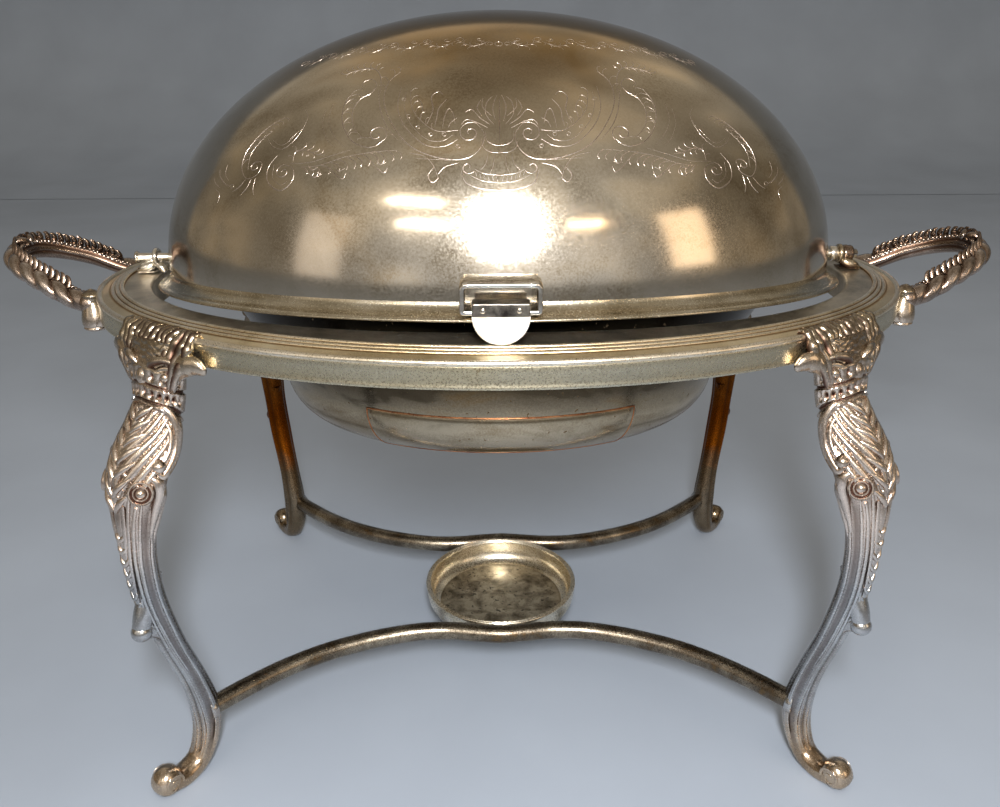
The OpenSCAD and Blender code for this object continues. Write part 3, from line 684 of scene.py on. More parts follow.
class LegForm:
    """The leg's cast form: places on it are (distance down the leg, angle round it from the outward side)."""

    def __init__(self, sx, sy):
        self.sx, self.sy = sx, sy
        line = spaced(catmull(LEG_LINE, 600), 0.66)
        fuller = 1 + 0.17 * smooth(np.linspace(0, 1, len(line)), 0.62, 0.82)[:, None]
        self.mid, self.half_w, self.half_d = line[:, :2], (line[:, 2:3] * fuller)[:,
                0], (line[:, 3:] * fuller)[:, 0]
        run = unit(np.gradient(self.mid, axis=0))
        self.out = np.stack([-run[:, 1], run[:, 0]], 1)
        self.length = np.concatenate([[0], np.cumsum(np.linalg.norm(np.diff(self.mid, axis=0), axis=1))])
        t = math.atan2(DECK_B * math.sin(LEG_ANGLE), DECK_A * math.cos(LEG_ANGLE))
        self.root = np.array([DECK_A * math.cos(t), DECK_B * math.sin(t)])

    def place(self, down, angle, lift=0.0):
        """Local points (out, across, height) and normals at distances down the leg and angles in degrees."""
        down, angle, lift = np.broadcast_arrays(np.asarray(down, float), np.asarray(angle, float),
                                                np.asarray(lift, float))
        t = np.radians(angle)
        m = [np.interp(down, self.length, self.mid[:, k]) for k in (0, 1)]
        o = [np.interp(down, self.length, self.out[:, k]) for k in (0, 1)]
        w, d = np.interp(down, self.length, self.half_w), np.interp(down, self.length, self.half_d)
        nd, nw = np.cos(t) / d, np.sin(t) / w
        size = np.sqrt(nd ** 2 + nw ** 2)
        nd, nw = nd / size, nw / size
        depth = d * np.cos(t) + nd * lift
        point = np.stack([m[0] + o[0] * depth, w * np.sin(t) + nw * lift, m[1] + o[1] * depth], -1)
        normal = np.stack([o[0] * nd, nw, o[1] * nd], -1)
        return point, normal

    def world(self, local):
        """The same places on the leg of this form's corner, in the shared frame."""
        c, s = math.cos(LEG_ANGLE), math.sin(LEG_ANGLE)
        x = self.root[0] + c * local[..., 0] - s * local[..., 1]
        y = self.root[1] + s * local[..., 0] + c * local[..., 1]
        return np.stack([self.sx * x, self.sy * y, np.maximum(local[..., 2], 0.0)], -1)


def rounded_ridge(phase):
    """Rounded ridges with sharp grooves between, one for each whole number."""
    s = 2 * (phase - np.floor(phase)) - 1
    return np.sqrt(np.maximum(1 - s * s, 0))


def carving(down, angle, depth):
    """Height of the carving and its relief value over the leg."""
    q = np.abs((angle + 180) % 360 - 180)
    slope = 0.06 * q
    height = np.zeros(np.broadcast(down, q).shape)
    value = np.full(height.shape, 0.62)
    # Two pierced bands round the neck, and the lip below them
    for centre, pitch, first in ((16.5, 22.0, 4.0), (27.0, 18.0, 9.0)):
        band = window(down - slope, centre - 4.4, centre + 4.4, 0.8) * (1 - smooth(q, 135, 160))
        off = (q - first + pitch / 2) % pitch - pitch / 2
        hole = np.exp(-(off / 4.6) ** 2 - ((down - slope - centre) / 2.3) ** 2) * (1 - smooth(q, 92, 112))
        height = height + band * 1.9 - hole * 2.9 * band
        value = np.where(band > 0.4, 0.95 - 1.1 * hole, value)
    groove = np.exp(-((down - slope - 21.7) / 1.0) ** 2) + np.exp(-((down - slope - 32.4) / 0.9) ** 2)
    value = value - 0.6 * groove
    lip = np.exp(-((down - slope - 35.2) / 1.5) ** 2) * (1 - smooth(q, 140, 165))
    height = height + 2.0 * lip
    value = np.maximum(value, 0.9 * (lip > 0.35))
    # Plume of feathers sweeping down and forward over the knee
    sweep = down + 0.6 * q + 0.0012 * (q - 70) ** 2
    ridge = rounded_ridge(sweep / 10.4 + 0.2)
    area = window(down, 39 + slope * 0.6, 97 - 0.22 * q, 1.6) * (1 - smooth(q, 108, 118))
    height = height + area * depth * (ridge - 0.45)
    value = value * (1 - area) + area * (0.05 + 0.95 * ridge ** 0.8)
    # Smooth fillet behind the volute, then flutes down the shank
    knots = [0, 9, 15, 24, 33, 39, 44, 50, 56, 66, 84, 97, 103, 109, 124, 140, 180]
    lifts = [1.3, 1.0, -0.3, -0.9, 0.4, 0.9, 0.0, 0.8, 0.4, -1.0, -1.3, 0.4, 0.8, 0.0, -0.6, 0.2, 0.0]
    flute = np.interp(q, knots, lifts)
    low_part = smooth(down, 92 - 0.1 * q, 104) * (1 - smooth(down, 276, 296))
    height = height + low_part * flute * np.interp(down, [90, 180, 290], [1.0, 0.75, 0.6])
    value = value * (1 - low_part) + low_part * np.clip(0.64 + 0.24 * flute, 0.36, 1)
    # Rough ground of the mount
    ground = ((1 - smooth(down, 8, 12)) * 0.5 * np.sin(down * 1.7 + np.sin(q * 0.13) * 2.0)
              * np.sin(q * 0.21 + 1.0))
    return height + ground, value


def build_leg(node, sx, sy, finish):
    form = LegForm(sx, sy)
    depth = bpy.context.scene.chafer_sizes.feather_depth / MM
    shape = Shape()
    down = np.linspace(0, form.length[-1], 470)[:, None]
    angle = (np.arange(132) * 360 / 132)[None, :]
    lift, value = carving(down, angle, depth)
    shape.rings(form.world(form.place(down, angle, lift)[0]), value)

    def stroke(knots, radii, flat=0.8, lift_by=0.35, step=1.4):
        """A tapered raised line through (down, angle) places, on both flanks."""
        for side in (1, -1):
            line = catmull(np.array([(d, side * a) for d, a in knots], float), 160)
            width = catmull(np.array(radii, float)[:, None], 160)[:, 0]
            point, normal = form.place(line[:, 0], line[:, 1], 0)
            full = np.concatenate([point + normal * (width * lift_by)[:, None], normal, width[:, None]], 1)
            full = spaced_by(full, step)
            w = form.world(full[:, :3])
            n = unit(form.world(full[:, :3] + full[:, 3:6]) - w)
            shape.tube(w, full[:, 6], up=n, flat=flat)

    # Big C ridge behind the plume, a thinner one inside it, and the ball it ends in
    stroke([(37, 46), (39, 72), (46, 100), (57, 114), (67, 109), (74, 94), (72, 82)],
           [1.0, 2.3, 3.3, 3.6, 3.3, 2.6, 1.6], flat=0.7)
    stroke([(45, 68), (50, 86), (58, 95), (65, 91), (68, 84)], [0.7, 1.6, 1.9, 1.6, 1.0])
    for side in (1, -1):
        shape.ball(form.world(form.place(69, side * 79, 0.78)[0]), 3.9)
    # Volute with its eye, and the fillet that runs from it to the back of the knee
    disc = [(-2.5, 0.4), (-2.5, 6.9), (1.1, 6.9), (1.9, 6.3), (1.9, 5.6), (0.8, 5.1), (0.8, 4.7), (2.1, 4.1),
            (2.1, 3.5), (1.2, 3.0), (2.4, 2.0), (3.0, 0.4)]
    for side in (1, -1):
        point, normal = form.place(84, side * 57, 0)
        w = form.world(point)
        shape.lathe(disc, w, form.world(point + normal) - w, 40,
                    [0.3, 0.3, 0.7, 1, 1, 0.05, 0.05, 1, 0.95, 0.1, 0.7, 0.9])
    stroke([(76, 72), (78, 88), (85, 100), (96, 100), (112, 94)], [1.6, 3.2, 3.8, 3.0, 0.9], flat=0.6)
    stroke([(80, 104), (88, 118), (100, 118), (116, 108)], [1.2, 2.8, 2.6, 0.7], flat=0.6)
    # Hooked curl low on the plume
    stroke([(78, 26), (76, 16), (80, 8), (87, 10), (88, 19), (84, 24)], [0.8, 1.5, 1.8, 1.6, 1.1, 0.7])
    # Long ridge lines from the volute down the shank
    stroke([(92, 50), (104, 44), (124, 40), (150, 38), (172, 40), (200, 44), (236, 48), (262, 50)],
           [0.9, 1.2, 1.1, 1, 0.9, 0.9, 0.8, 0.6])
    stroke([(90, 62), (104, 60), (128, 57), (156, 56), (182, 60), (214, 64)], [0.7, 1.0, 1.0, 0.9, 0.8, 0.5])
    stroke([(100, 98), (130, 96), (165, 98), (205, 96), (248, 92), (276, 84)], [0.6, 1.0, 1.1, 1.0, 0.9, 0.6])
    # Leaf that laps the front of the shank, with lobes along its edge
    stroke([(92, 22), (106, 20), (118, 14), (130, 6)], [1.0, 1.6, 1.4, 0.6])
    stroke([(84, 36), (100, 32), (118, 26), (140, 18), (160, 8)], [0.8, 1.2, 1.2, 1.0, 0.6])
    for k, d in enumerate((112, 119.5, 127, 134.5, 142, 149.5, 156.5)):
        stroke([(d - 3, 20), (d, 9), (d + 1.6, 1)], [0.8, 1.7 - 0.08 * k, 1.3], flat=1.0, lift_by=0.5,
               step=0.8)
    # Edge of the plume in front, made of overlapping lobes
    for d in (44, 52, 60, 68, 76, 84, 92):
        stroke([(d - 6, 34), (d - 1, 16), (d + 4, 3)], [0.8, 2.1, 1.5], flat=0.9, lift_by=0.45, step=0.9)
    # Rough acanthus on the mount: leaves climb over the bead, hooked leaves lap the skirt, an eye each side
    for k in range(-6, 7):
        w0 = k * 4.4
        bow = w0 * w0 / 480
        leaf = catmull([(9.5 - 1.6 * bow, w0 * 0.66, 263), (8.6 - bow, w0 * 0.84, 272),
                        (5.6 - bow, w0 * 0.98, 281.5),
                        (2.6 - bow, w0 * 1.06, 288.4), (-1.4 - bow, w0 * 1.08, 292.6),
                        (-5.6 - bow - (k % 3), w0 * 1.1, 293.4)], 40)
        leaf[:, 1] += 0.8 * np.sin(np.linspace(0, 9, 40) + k * 1.7)
        w = form.world(leaf)
        shape.tube(w, taper(40, [0, 0.3, 0.6, 0.85, 1], [1.6, 2.8, 2.9, 2.4, 1.2])
                   * (1 + 0.16 * np.sin(np.linspace(0, 26, 40) + k)), sides=10)
    for side in (1, -1):
        hook = catmull([(5.4, 11, 266), (5, 18, 273), (4, 25, 278), (2.6, 31, 279.4), (1.4, 35.4, 277.6),
                        (0.6, 38, 274.8)], 40)
        hook[:, 1] *= side
        w = form.world(hook)
        ahead = unit(form.world(hook + np.array([1.0, 0, 0])) - w)
        shape.tube(w, taper(40, [0, 0.25, 0.5, 0.75, 0.9, 1], [3.6, 6.0, 6.4, 5.0, 3.2, 1.0]), up=ahead,
                   flat=0.62, sides=14,
                   relief=0.85)
        t = np.linspace(0, TAU * 0.97, 30)
        eye = np.array([8.2, 15.5, 271.5]) + np.stack([-2.6 * np.cos(t), 5.6 * np.cos(t), 4.8 * np.sin(t)], 1)
        eye[:, 1] *= side
        shape.tube(form.world(eye), 1.7, sides=10, relief=0.9)
        shape.ball(form.world(np.array([9.2, side * 15.5, 271.5])), 2.7, relief=0.8)
        brow = catmull([(10.5, 4, 274), (11.2, 9, 279.5), (8.5, 17, 281), (5, 24, 277.5)], 24)
        brow[:, 1] *= side
        shape.tube(form.world(brow), taper(24, [0, 0.4, 1], [1.4, 2.6, 1.0]), sides=10)
    shape.ball(form.world(np.array([11.2, 0.0, 270.0])), 4.6, (1, 1, 1.25))
    # Spur: a short arm off the front of the shank that ends in a ball
    for knots, radii in (([(27, 0, 154), (32.4, 0, 141), (37, 0, 131), (40, 0, 123)], [5.0, 6.8, 6.4, 5.6]),
                         ([(39.5, 0, 121.5), (34, 0, 118.5), (28.5, 0, 112), (25, 0, 103)],
                          [5.0, 5.6, 5.0, 3.4])):
        arm = catmull(knots, 24)
        w = form.world(arm)
        across = unit(form.world(arm + np.array([0, 1.0, 0])) - w)
        shape.tube(w, taper(24, [0, 0.35, 0.7, 1], radii), up=across, flat=0.9, sides=16, relief=0.75)
    shape.ball(form.world(np.array([40.6, 0.0, 120.4])), 6.1, (1.0, 1.0, 0.98), relief=0.85, rings=13,
               cols=22)
    stroke([(150, 30), (160, 20), (168, 22), (172, 32), (168, 42)], [0.7, 1.2, 1.2, 1.0, 0.6])
    # Toe: a rolled scroll with a waist where the foot runs into it
    turn = LEG_ANGLE * sx * sy + (math.pi if sx < 0 else 0)
    centre = form.world(np.array([43.0, 0, 9.4]))
    axis = np.array([-math.sin(turn), math.cos(turn), 0])
    toe = [(-7.9, 0.6), (-7.9, 3.2), (-7.3, 5.6), (-6.2, 7.4), (-4.2, 8.8), (-1.8, 9.35), (0, 9.4),
           (1.8, 9.35), (4.2, 8.8), (6.2, 7.4),
           (7.3, 5.6), (7.9, 3.2), (7.9, 0.6)]
    shape.lathe(toe, centre, axis, 40, relief=0.8)
    for side in (1, -1):
        t = np.linspace(0, 9.5, 40)
        r = 7.0 - 0.55 * t
        ring = np.stack([43 + r * np.cos(-t - 2.2), np.full(40, side * (7.4 + 0.1 * t / 2)),
                         9.4 + r * np.sin(-t - 2.2)], 1)
        w = form.world(ring)
        n = unit(form.world(ring + np.array([0, side, 0])) - w)
        shape.tube(w, np.linspace(1.0, 0.7, 40), up=n, flat=0.6, sides=8)
    shape.settle(node, finish, "stand", [node], "cast_silver")


def spaced_by(rows, step):
    """Rows of (point, normal, width) evenly spaced along the points' path."""
    run = np.concatenate([[0], np.cumsum(np.linalg.norm(np.diff(rows[:, :3], axis=0), axis=1))])
    at = np.linspace(0, run[-1], max(int(run[-1] / step) + 1, 5))
    return np.stack([np.interp(at, run, rows[:, k]) for k in range(rows.shape[1])], 1)


# ---------- stretchers and burner cup ----------

BAR_LINE = [[186, 134], [168, 116], [147, 98], [124, 83], [99, 71.5], [76, 64], [56, 60], [36, 59.6],
            [17, 62.2]]


def build_stretchers():
    f = finishes()
    sizes = bpy.context.scene.chafer_sizes
    bar_z = (low("stretcher_front")[2] + high("stretcher_front")[2]) / 2
    middle = CUP_R + 6.3 - 0.9
    half = BAR_LINE + [[0, middle]] + [[-x, y] for x, y in BAR_LINE[::-1]]
    for side, node in ((-1, "stretcher_front"), (1, "stretcher_rear")):
        line = spaced(catmull(half, 400), 2.0)
        path = np.stack([line[:, 0], side * line[:, 1], np.full(len(line), bar_z)], 1)
        source = polyline(node + " line", [path], [1.0])
        bar = run_tree(source, bar_tree(), {"Radius": sizes.bar_radius, "Sides": 28,
                                            "Finish": f["dark plated tube"]}, node)
        settle(bar, "stand", [node])
    shape = Shape()
    ring = [(-2.6, 6.0), (-2.6, 7.2), (-2.0, 8.0), (-0.8, 8.2), (0.8, 8.2), (2.0, 8.0), (2.6, 7.2),
            (2.6, 6.0)]
    for sx in (1, -1):
        for sy in (1, -1):
            shape.lathe(ring, (sx * 187.5, sy * 135.5, bar_z), (sx, sy, 0), 32, relief=0.8)
    settle(shape.mesh("stretcher_collars", f["cast silver plate"]), "stand", ["stretcher_collars"])


def build_cup():
    base, r = CUP_LOW, CUP_R - 1
    z = CUP_TOP
    outer = [(base, 0.5), (base, r - 14), (base, r - 9), (base + 1.2, r - 5.5), (base + 3.6, r - 2.6),
             (base + 7, r - 0.8), (base + 11, r),
             (z - 2.4, r)]
    inner = [(z - 2.4, r - 1.4), (base + 11, r - 1.4), (base + 7.4, r - 2.2), (base + 4.4, r - 4),
             (base + 2.2, r - 7), (base + 1.6, r - 10)]
    shape = Shape()
    shape.lathe(outer + inner + [(base + 1.5, r - 10.4), (base + 1.5, 0.5)], (0, 0, 0), (0, 0, 1), 128)
    shape.settle("burner_cup", "pale gold spun plate", "stand", ["burner_cup"], "cup_gold")
    shape = Shape()
    shape.lathe([(base + 1.4, 0.4), (base + 1.4, r - 9.2), (base + 1.75, r - 9.8), (base + 1.95, r - 11),
                 (base + 1.75, r - 12.5), (base + 1.7, 30),
                 (base + 1.9, 26), (base + 1.7, 22), (base + 1.65, 0.4)], (0, 0, 0), (0, 0, 1), 96)
    shape.settle("burner_cup_floor", "smoky cup floor", "stand", [], "cup_gold")
    shape = Shape()
    rim = [(z - 2.5, CUP_R - 4), (z - 2.5, CUP_R - 0.2), (z - 1.6, CUP_R), (z - 0.4, CUP_R - 0.2),
           (z, CUP_R - 0.8), (z - 0.1, CUP_R - 1.4),
           (z - 0.9, CUP_R - 1.8), (z - 0.9, CUP_R - 2.4), (z - 0.35, CUP_R - 2.8), (z - 0.3, CUP_R - 3.4),
           (z - 1.1, CUP_R - 4)]
    shape.lathe(rim, (0, 0, 0), (0, 0, 1), 128, ends="loop")
    shape.settle("burner_cup_rim", "pale gold spun plate", "stand", ["burner_cup_rim"], "cup_gold")


# ---------- handles ----------

HANDLE_LINE = [[258, 45, 0], [272, 43, 4], [291, 37.5, 13], [309, 26, 20], [319, 10, 23.5]]


def build_handles():
    f = finishes()
    sizes = bpy.context.scene.chafer_sizes
    root_z = low("handle_left")[2] + 7.0
    fore = [[p[0], -p[1], p[2]] for p in HANDLE_LINE]
    knots = np.array(fore + HANDLE_LINE[::-1], float)
    path = spaced(catmull(knots, 500), 0.7)
    path[:, 2] += root_z
    along = unit(np.gradient(path, axis=0))
    run = np.concatenate([[0], np.cumsum(np.linalg.norm(np.diff(path, axis=0), axis=1))])
    total = run[-1]
    up = np.array([0.35, 0, 0.94]) - along * (along @ np.array([0.35, 0, 0.94]))[:, None]
    up = unit(up)
    side = unit(np.cross(along, up))
    out = np.where((side @ np.array([1, 0, 0.0]))[:, None] < 0, -side, side)
    a = np.arange(48) * TAU / 48
    # Gadroons run slantwise over the outer side, towards the middle from each end; the inner side is plain
    pitch = sizes.lobe_pitch / MM
    half_way = np.abs(run - total / 2)
    phase = half_way[:, None] / pitch + np.sin(a - 0.5)[None, :] * 0.42
    ridge = rounded_ridge(phase)
    face = smooth(np.cos(a) + 0.75 * np.sin(a), -0.55, -0.05)[None, :]
    ends = smooth(half_way, total / 2 - 13, total / 2 - 4)[:, None]
    mid = (1 - smooth(half_way, 2, 8))[:, None]
    plain = np.maximum(ends, mid)
    groove = np.exp(-((a - math.radians(172)) / 0.16) ** 2) + np.exp(-((a - math.radians(214)) / 0.14) ** 2)
    groove = groove[None, :]
    drop = (1 - ridge) * 3.0 * face * (1 - plain) + groove * 0.7 * (1 - ends)
    radius = 6.6 + 0.15 * mid + 0 * a[None, :]
    value = (face * ((0.02 + 0.98 * ridge ** 0.75) * (1 - plain) + 0.85 * plain)
             + (1 - face) * (0.6 - 0.45 * groove))
    for sx, label in ((-1, "left"), (1, "right")):
        node = "handle_" + label
        shape = Shape()
        ring = out[:, None] * np.cos(a)[None, :, None] + up[:, None] * np.sin(a)[None, :, None]
        grid = path[:, None] + ring * (radius - drop)[..., None]
        grid[..., 0] *= sx
        shape.rings(grid, np.clip(value, 0, 1))
        # Serrated leaves stand up along the top of the bar, towards its inner side
        count = 34
        for k in range(count):
            i = int(np.interp(k, [0, count - 1], [26, len(path) - 27]))
            inner, rise, ahead = -out[i], up[i], along[i] * (1 if i < len(path) / 2 else -1)
            tall = 1.0 + 0.35 * math.sin(k * 2.4)
            leaf = catmull([path[i] + inner * 1.5 + rise * 4.4,
                            path[i] + inner * 3.6 + rise * 6.6 + ahead * 0.8,
                            path[i] + inner * 5.0 + rise * (8.2 + tall) + ahead * 2.6,
                            path[i] + inner * 5.4 + rise * (8.6 + tall) + ahead * 4.6], 8)
            leaf[:, 0] *= sx
            shape.tube(leaf, [1.3, 1.8, 2.0, 1.9, 1.6, 1.2, 0.8, 0.4], flat=0.7, sides=8, relief=0.55)
        # Curled leaf at the middle of the grip
        for turn in (-1, 1):
            i = len(path) // 2
            curl = catmull([path[i] - out[i] * 3 + up[i] * 5.5 + along[i] * turn * 9,
                            path[i] - out[i] * 6.5 + up[i] * 6.5 + along[i] * turn * 6,
                            path[i] - out[i] * 8.6 + up[i] * 4.2 + along[i] * turn * 2.5,
                            path[i] - out[i] * 7.6 + up[i] * 1.8 + along[i] * turn * 3.5], 12)
            curl[:, 0] *= sx
            shape.tube(curl, taper(12, [0, 0.5, 1], [1.6, 2.4, 1.2]), sides=8)
        # Scroll block where each arm meets its bell
        for k in (0, -1):
            end = path[k].copy()
            end[0] *= sx
            shape.ball(end + np.array([sx * 1.0, 0, 0.5]), 8.0, (0.9, 0.95, 0.9), relief=0.7, rings=11,
                       cols=20)
        shape.settle(node, "coppery cast plate", "stand", [node], "cast_copper_worn")
        # Bead row between the gadroons and the fringe
        row = []
        at = 9.0
        while at < total - 8:
            i = int(np.searchsorted(run, at))
            spot = path[i] - out[i] * 6.1 + up[i] * 3.3
            row.append([sx * spot[0], spot[1], spot[2]])
            at += sizes.bead_radius / MM * 2.35
        settle(beads("handle_beads_" + label, row, sizes.bead_radius, f["coppery cast plate"]), "stand", [])
    # Bells against the skirt
    t = math.asin(HANDLE_LINE[0][1] / DECK_B)
    spot = np.array([DECK_A * math.cos(t), DECK_B * math.sin(t)])
    facing = math.atan2(spot[1] / DECK_B ** 2, spot[0] / DECK_A ** 2)
    bell = [(-16, 0.5), (-16, 6.4), (-15.4, 7.4), (-14.6, 7.8), (-13.8, 7.4), (-13.2, 7.7), (-12, 8.15),
            (-9, 8.15), (-6, 7.6), (-2, 6.6),
            (1.5, 5.5), (4, 4.9), (5, 5.6), (6, 5.9), (7, 5.4), (7.8, 4.2), (9, 2.6), (9.9, 0.5)]
    shape = Shape()
    for sx in (1, -1):
        for sy in (1, -1):
            centre = (sx * (spot[0] + 3.2 * math.cos(facing)), sy * (spot[1] + 3.2 * math.sin(facing)),
                      root_z)
            shape.lathe(bell, centre, (0, 0, 1), 40, relief=[0.8] * 12 + [0.3, 0.8, 0.8, 0.5, 0.3, 0.8])
    shape.settle("handle_bells", "cast silver plate", "stand", ["handle_terminals"], "cast_silver")


# ---------- pivots ----------

def along_x(shape, places, ends="cap", cols=40, relief=0.6):
    """A turned part on the pivot axis, through (x, radius) places."""
    shape.lathe(places, (0, 0, AXIS_Z), (1, 0, 0), cols, relief, ends)


def build_pivots():
    f = finishes()
    eye = low("bracket_right")[0] + 1.5
    for s, node in ((-1, "bracket_left"), (1, "bracket_right")):
        shape = Shape()
        # Foot plate on the deck
        t = np.linspace(0, 1, 14)
        spine = np.stack([s * (eye + 12 - 12.5 * t), 0 * t, DECK_Z + 0.7 + 0.5 * t], 1)
        wide = 8.0 - 2.6 * t
        shape.tube(spine, wide, up=np.tile([0, 0, 1.0], (14, 1)), flat=0.14, sides=20, relief=0.35)
        # Fat ribs fan from the eye down to the foot
        for k in range(-1, 2):
            rib = catmull([(eye + 12.0, k * 5.4, DECK_Z + 1.0), (eye + 9.5, k * 5.2, DECK_Z + 3.2),
                           (eye + 5.5, k * 4.6, DECK_Z + 4.4),
                           (eye + 2.4, k * 3.4, DECK_Z + 5.6), (eye + 0.4, k * 2.0, DECK_Z + 7.0)], 20)
            rib[:, 0] *= s
            shape.tube(rib, taper(20, [0, 0.35, 0.7, 1], [1.2, 3.1, 3.0, 1.8]), sides=14)
        for k in (-0.5, 0.5):
            rib = catmull([(eye + 10.5, k * 6.0, DECK_Z + 1.4), (eye + 7.0, k * 5.2, DECK_Z + 5.6),
                           (eye + 3.6, k * 3.6, DECK_Z + 7.6), (eye + 1.2, k * 2.0, DECK_Z + 8.2)], 16)
            rib[:, 0] *= s
            shape.tube(rib, taper(16, [0, 0.5, 1], [1.2, 2.2, 1.4]), sides=12)
        for k in (-1, 0, 1) if s < 0 else ():
            rib = catmull([(eye - 0.6, k * 1.8, DECK_Z + 5.6), (eye - 2.8, k * 3.6, DECK_Z + 4.4),
                           (eye - 6.0, k * 4.8, DECK_Z + 1.0)], 14)
            rib[:, 0] *= s
            shape.tube(rib, taper(14, [0, 0.6, 1], [1.8, 2.6, 1.4]), sides=12)
        # Eye
        ring = [(-1.5, 3.12), (-1.5, 5.6), (-1.1, 6.2), (-0.4, 6.4), (0.4, 6.4), (1.1, 6.2), (1.5, 5.6),
                (1.5, 3.12), (0, 3.06), (-1.5, 3.12)]
        grid_profile = [(s * eye + x, r) for x, r in ring[:-1]]
        t = np.arange(48) * TAU / 48
        grid = np.stack([np.stack([np.full(48, x), r * np.cos(t), AXIS_Z + r * np.sin(t)], 1) for x,
                         r in grid_profile])
        shape.rings(grid, 0.85, ends="loop")
        settle(shape.mesh(node, f["bright turned plate" if s < 0 else "cast silver plate"]), "stand", [node])
    places = [(s * (eye + 9.5), y, DECK_Z + 2.1) for s in (-1, 1) for y in (-5, 5)]
    settle(beads("bracket_rivets", places, 0.0016, f["bright turned plate"], (1, 1, 0.75)), "stand",
           ["bracket_rivets"])

    x0, x1 = low("pin_left")[0], high("pin_left")[0]
    shape = Shape()
    along_x(shape, [(x0 + 0.1, 0.4), (x0, 2.8), (x0 + 0.5, 3.9), (x0 + 1.2, 4.2), (x0 + 2.0, 4.1),
                    (x0 + 2.5, 3.4), (x0 + 2.9, 3.0),
                    (x1 - 0.8, 3.0), (x1, 2.2), (x1, 0.4)])
    shape.settle("pin_left", "bright turned plate", "left_pin", ["pin_left"], "cast_silver")
    x0, x1 = low("pin_right")[0], high("pin_right")[0]
    shape = Shape()
    along_x(shape, [(x0, 0.4), (x0, 2.2), (x0 + 0.8, 3.0), (x1 - 0.8, 3.0), (x1, 2.2), (x1, 0.4)])
    shape.settle("pin_right", "bright turned plate", "stand", ["pin_right"], "cast_silver")
    x0, x1 = low("sleeve_right")[0], high("sleeve_right")[0]
    shape = Shape()
    along_x(shape, [(x0, 2.9), (x0, 4.6), (x0 + 0.6, 5.2), (x1 - 0.6, 5.2), (x1, 4.6), (x1, 2.9)], "loop")
    shape.settle("sleeve_right", "bright turned plate", "stand", ["sleeve_right"], "cast_silver")
    x0, x1 = low("collar_right")[0], high("collar_right")[0]
    shape = Shape()
    along_x(shape, [(x0, 2.9), (x0, 4.9), (x0 + 0.9, 5.7), (x0 + 3.0, 5.8), (x0 + 4.4, 5.2), (x0 + 5.4, 5.6),
                    (x1 - 0.9, 5.2), (x1, 4.0), (x1, 2.9)], "loop")
    shape.settle("collar_right", "coppery cast plate", "stand", ["collar_right"], "cast_copper_worn")


# ---------- lid ----------

def dome_place(x, phi, lift=0.0):
    """Point and normal on the dome at x along it and phi degrees up from its front."""
    x, phi = np.broadcast_arrays(np.asarray(x, float), np.asarray(phi, float))
    share = np.sqrt(np.maximum(1 - (x / DOME_A) ** 2, 1e-6))
    t = np.radians(phi)
    y, z = -DOME_B * share * np.cos(t), DOME_B * share * np.sin(t)
    normal = unit(np.stack([x / DOME_A ** 2, y / DOME_B ** 2, z / DOME_B ** 2], -1))
    return np.stack([x, y, z + AXIS_Z], -1) + normal * lift, normal


def build_dome():
    f = finishes()
    count, wall = 360, 1.3
    cut = -5.0
    rows = []
    for a, b, rise in ((DOME_A, DOME_B, 1), (DOME_A - wall, DOME_B - wall, -1)):
        start = math.asin(cut / b)
        angles = np.linspace(math.radians(89.6), start, 96)
        levels = [(a * math.cos(t), b * math.cos(t), b * math.sin(t)) for t in angles]
        rows += levels if rise > 0 else levels[::-1]
    shape = Shape()
    shape.rings(leaned(oval_levels(rows, count)), 0.6)
    settle(shape.mesh("dome", f["raised silver plate with painted golden top"]), "lid",
           ["dome_end_left", "dome_left", "dome_right", "dome_end_right"])

    # Rim: a fillet off the dome, a flare, a raised line and a rolled edge
    a, b, z = DOME_A, DOME_B, -13.8
    wide_a, wide_b = a + 8, b + 10.5
    outer = [(a, b, -5.0), (a + 0.3, b + 0.3, -6.4), (a + 1.0, b + 1.1, -7.8), (a + 2.4, b + 3.0, -9.4),
             (a + 4.0, b + 5.2, -10.5),
             (a + 5.4, b + 7.2, -11.2), (a + 5.9, b + 7.9, -11.1), (a + 6.4, b + 8.6, -11.3),
             (a + 7.2, b + 9.6, -11.9), (a + 7.8, b + 10.3, -12.5),
             (wide_a, wide_b, -13.1), (wide_a - 0.3, wide_b - 0.3, -13.6), (wide_a - 1, wide_b - 1, z)]
    inner = [(a + 5.0, b + 7.0, z + 0.5), (a + 3.0, b + 4.4, z + 1.7), (a + 0.6, b + 1.2, z + 3.4),
             (a - 0.9, b - 0.7, z + 5.4), (a - wall, b - wall, -7.0),
             (a - wall, b - wall, -5.0)]
    shape = Shape()
    shape.rings(leaned(oval_levels(outer + inner, count)), 0.6, ends="loop")
    shape.settle("dome_rim", "rim plate with painted olive reflection", "lid", ["dome_rim"], "silver_plate_sheet")

    shape = Shape()
    for s in (-1, 1):
        x = DOME_A - 0.4
        along_x(shape, [(s * x, 3.1), (s * x, 6.2), (s * (x + 3.2), 6.4), (s * (x + 5.4), 6.1),
                        (s * (x + 6.2), 5.2), (s * (x + 6.2), 3.1)], "loop")
    shape.settle("pivot_bosses", "bright turned plate", "lid", ["pivot_boss_left", "pivot_boss_right"],
                 "silver_plate_sheet")


def scroll(x, y, r0, r1, a0, a1, width, count=60):
    """Spiral line from radius r0 at angle a0 to r1 at a1, in degrees, on the flat drawing of the frieze."""
    t = np.linspace(0, 1, count)
    r = r0 + (r1 - r0) * t
    a = np.radians(a0 + (a1 - a0) * t)
    taper_off = 0.45 + 0.55 * np.sin(np.pi * np.clip(t * 0.9 + 0.05, 0, 1))
    return np.stack([x + r * np.cos(a), y + r * np.sin(a)], 1), width * taper_off


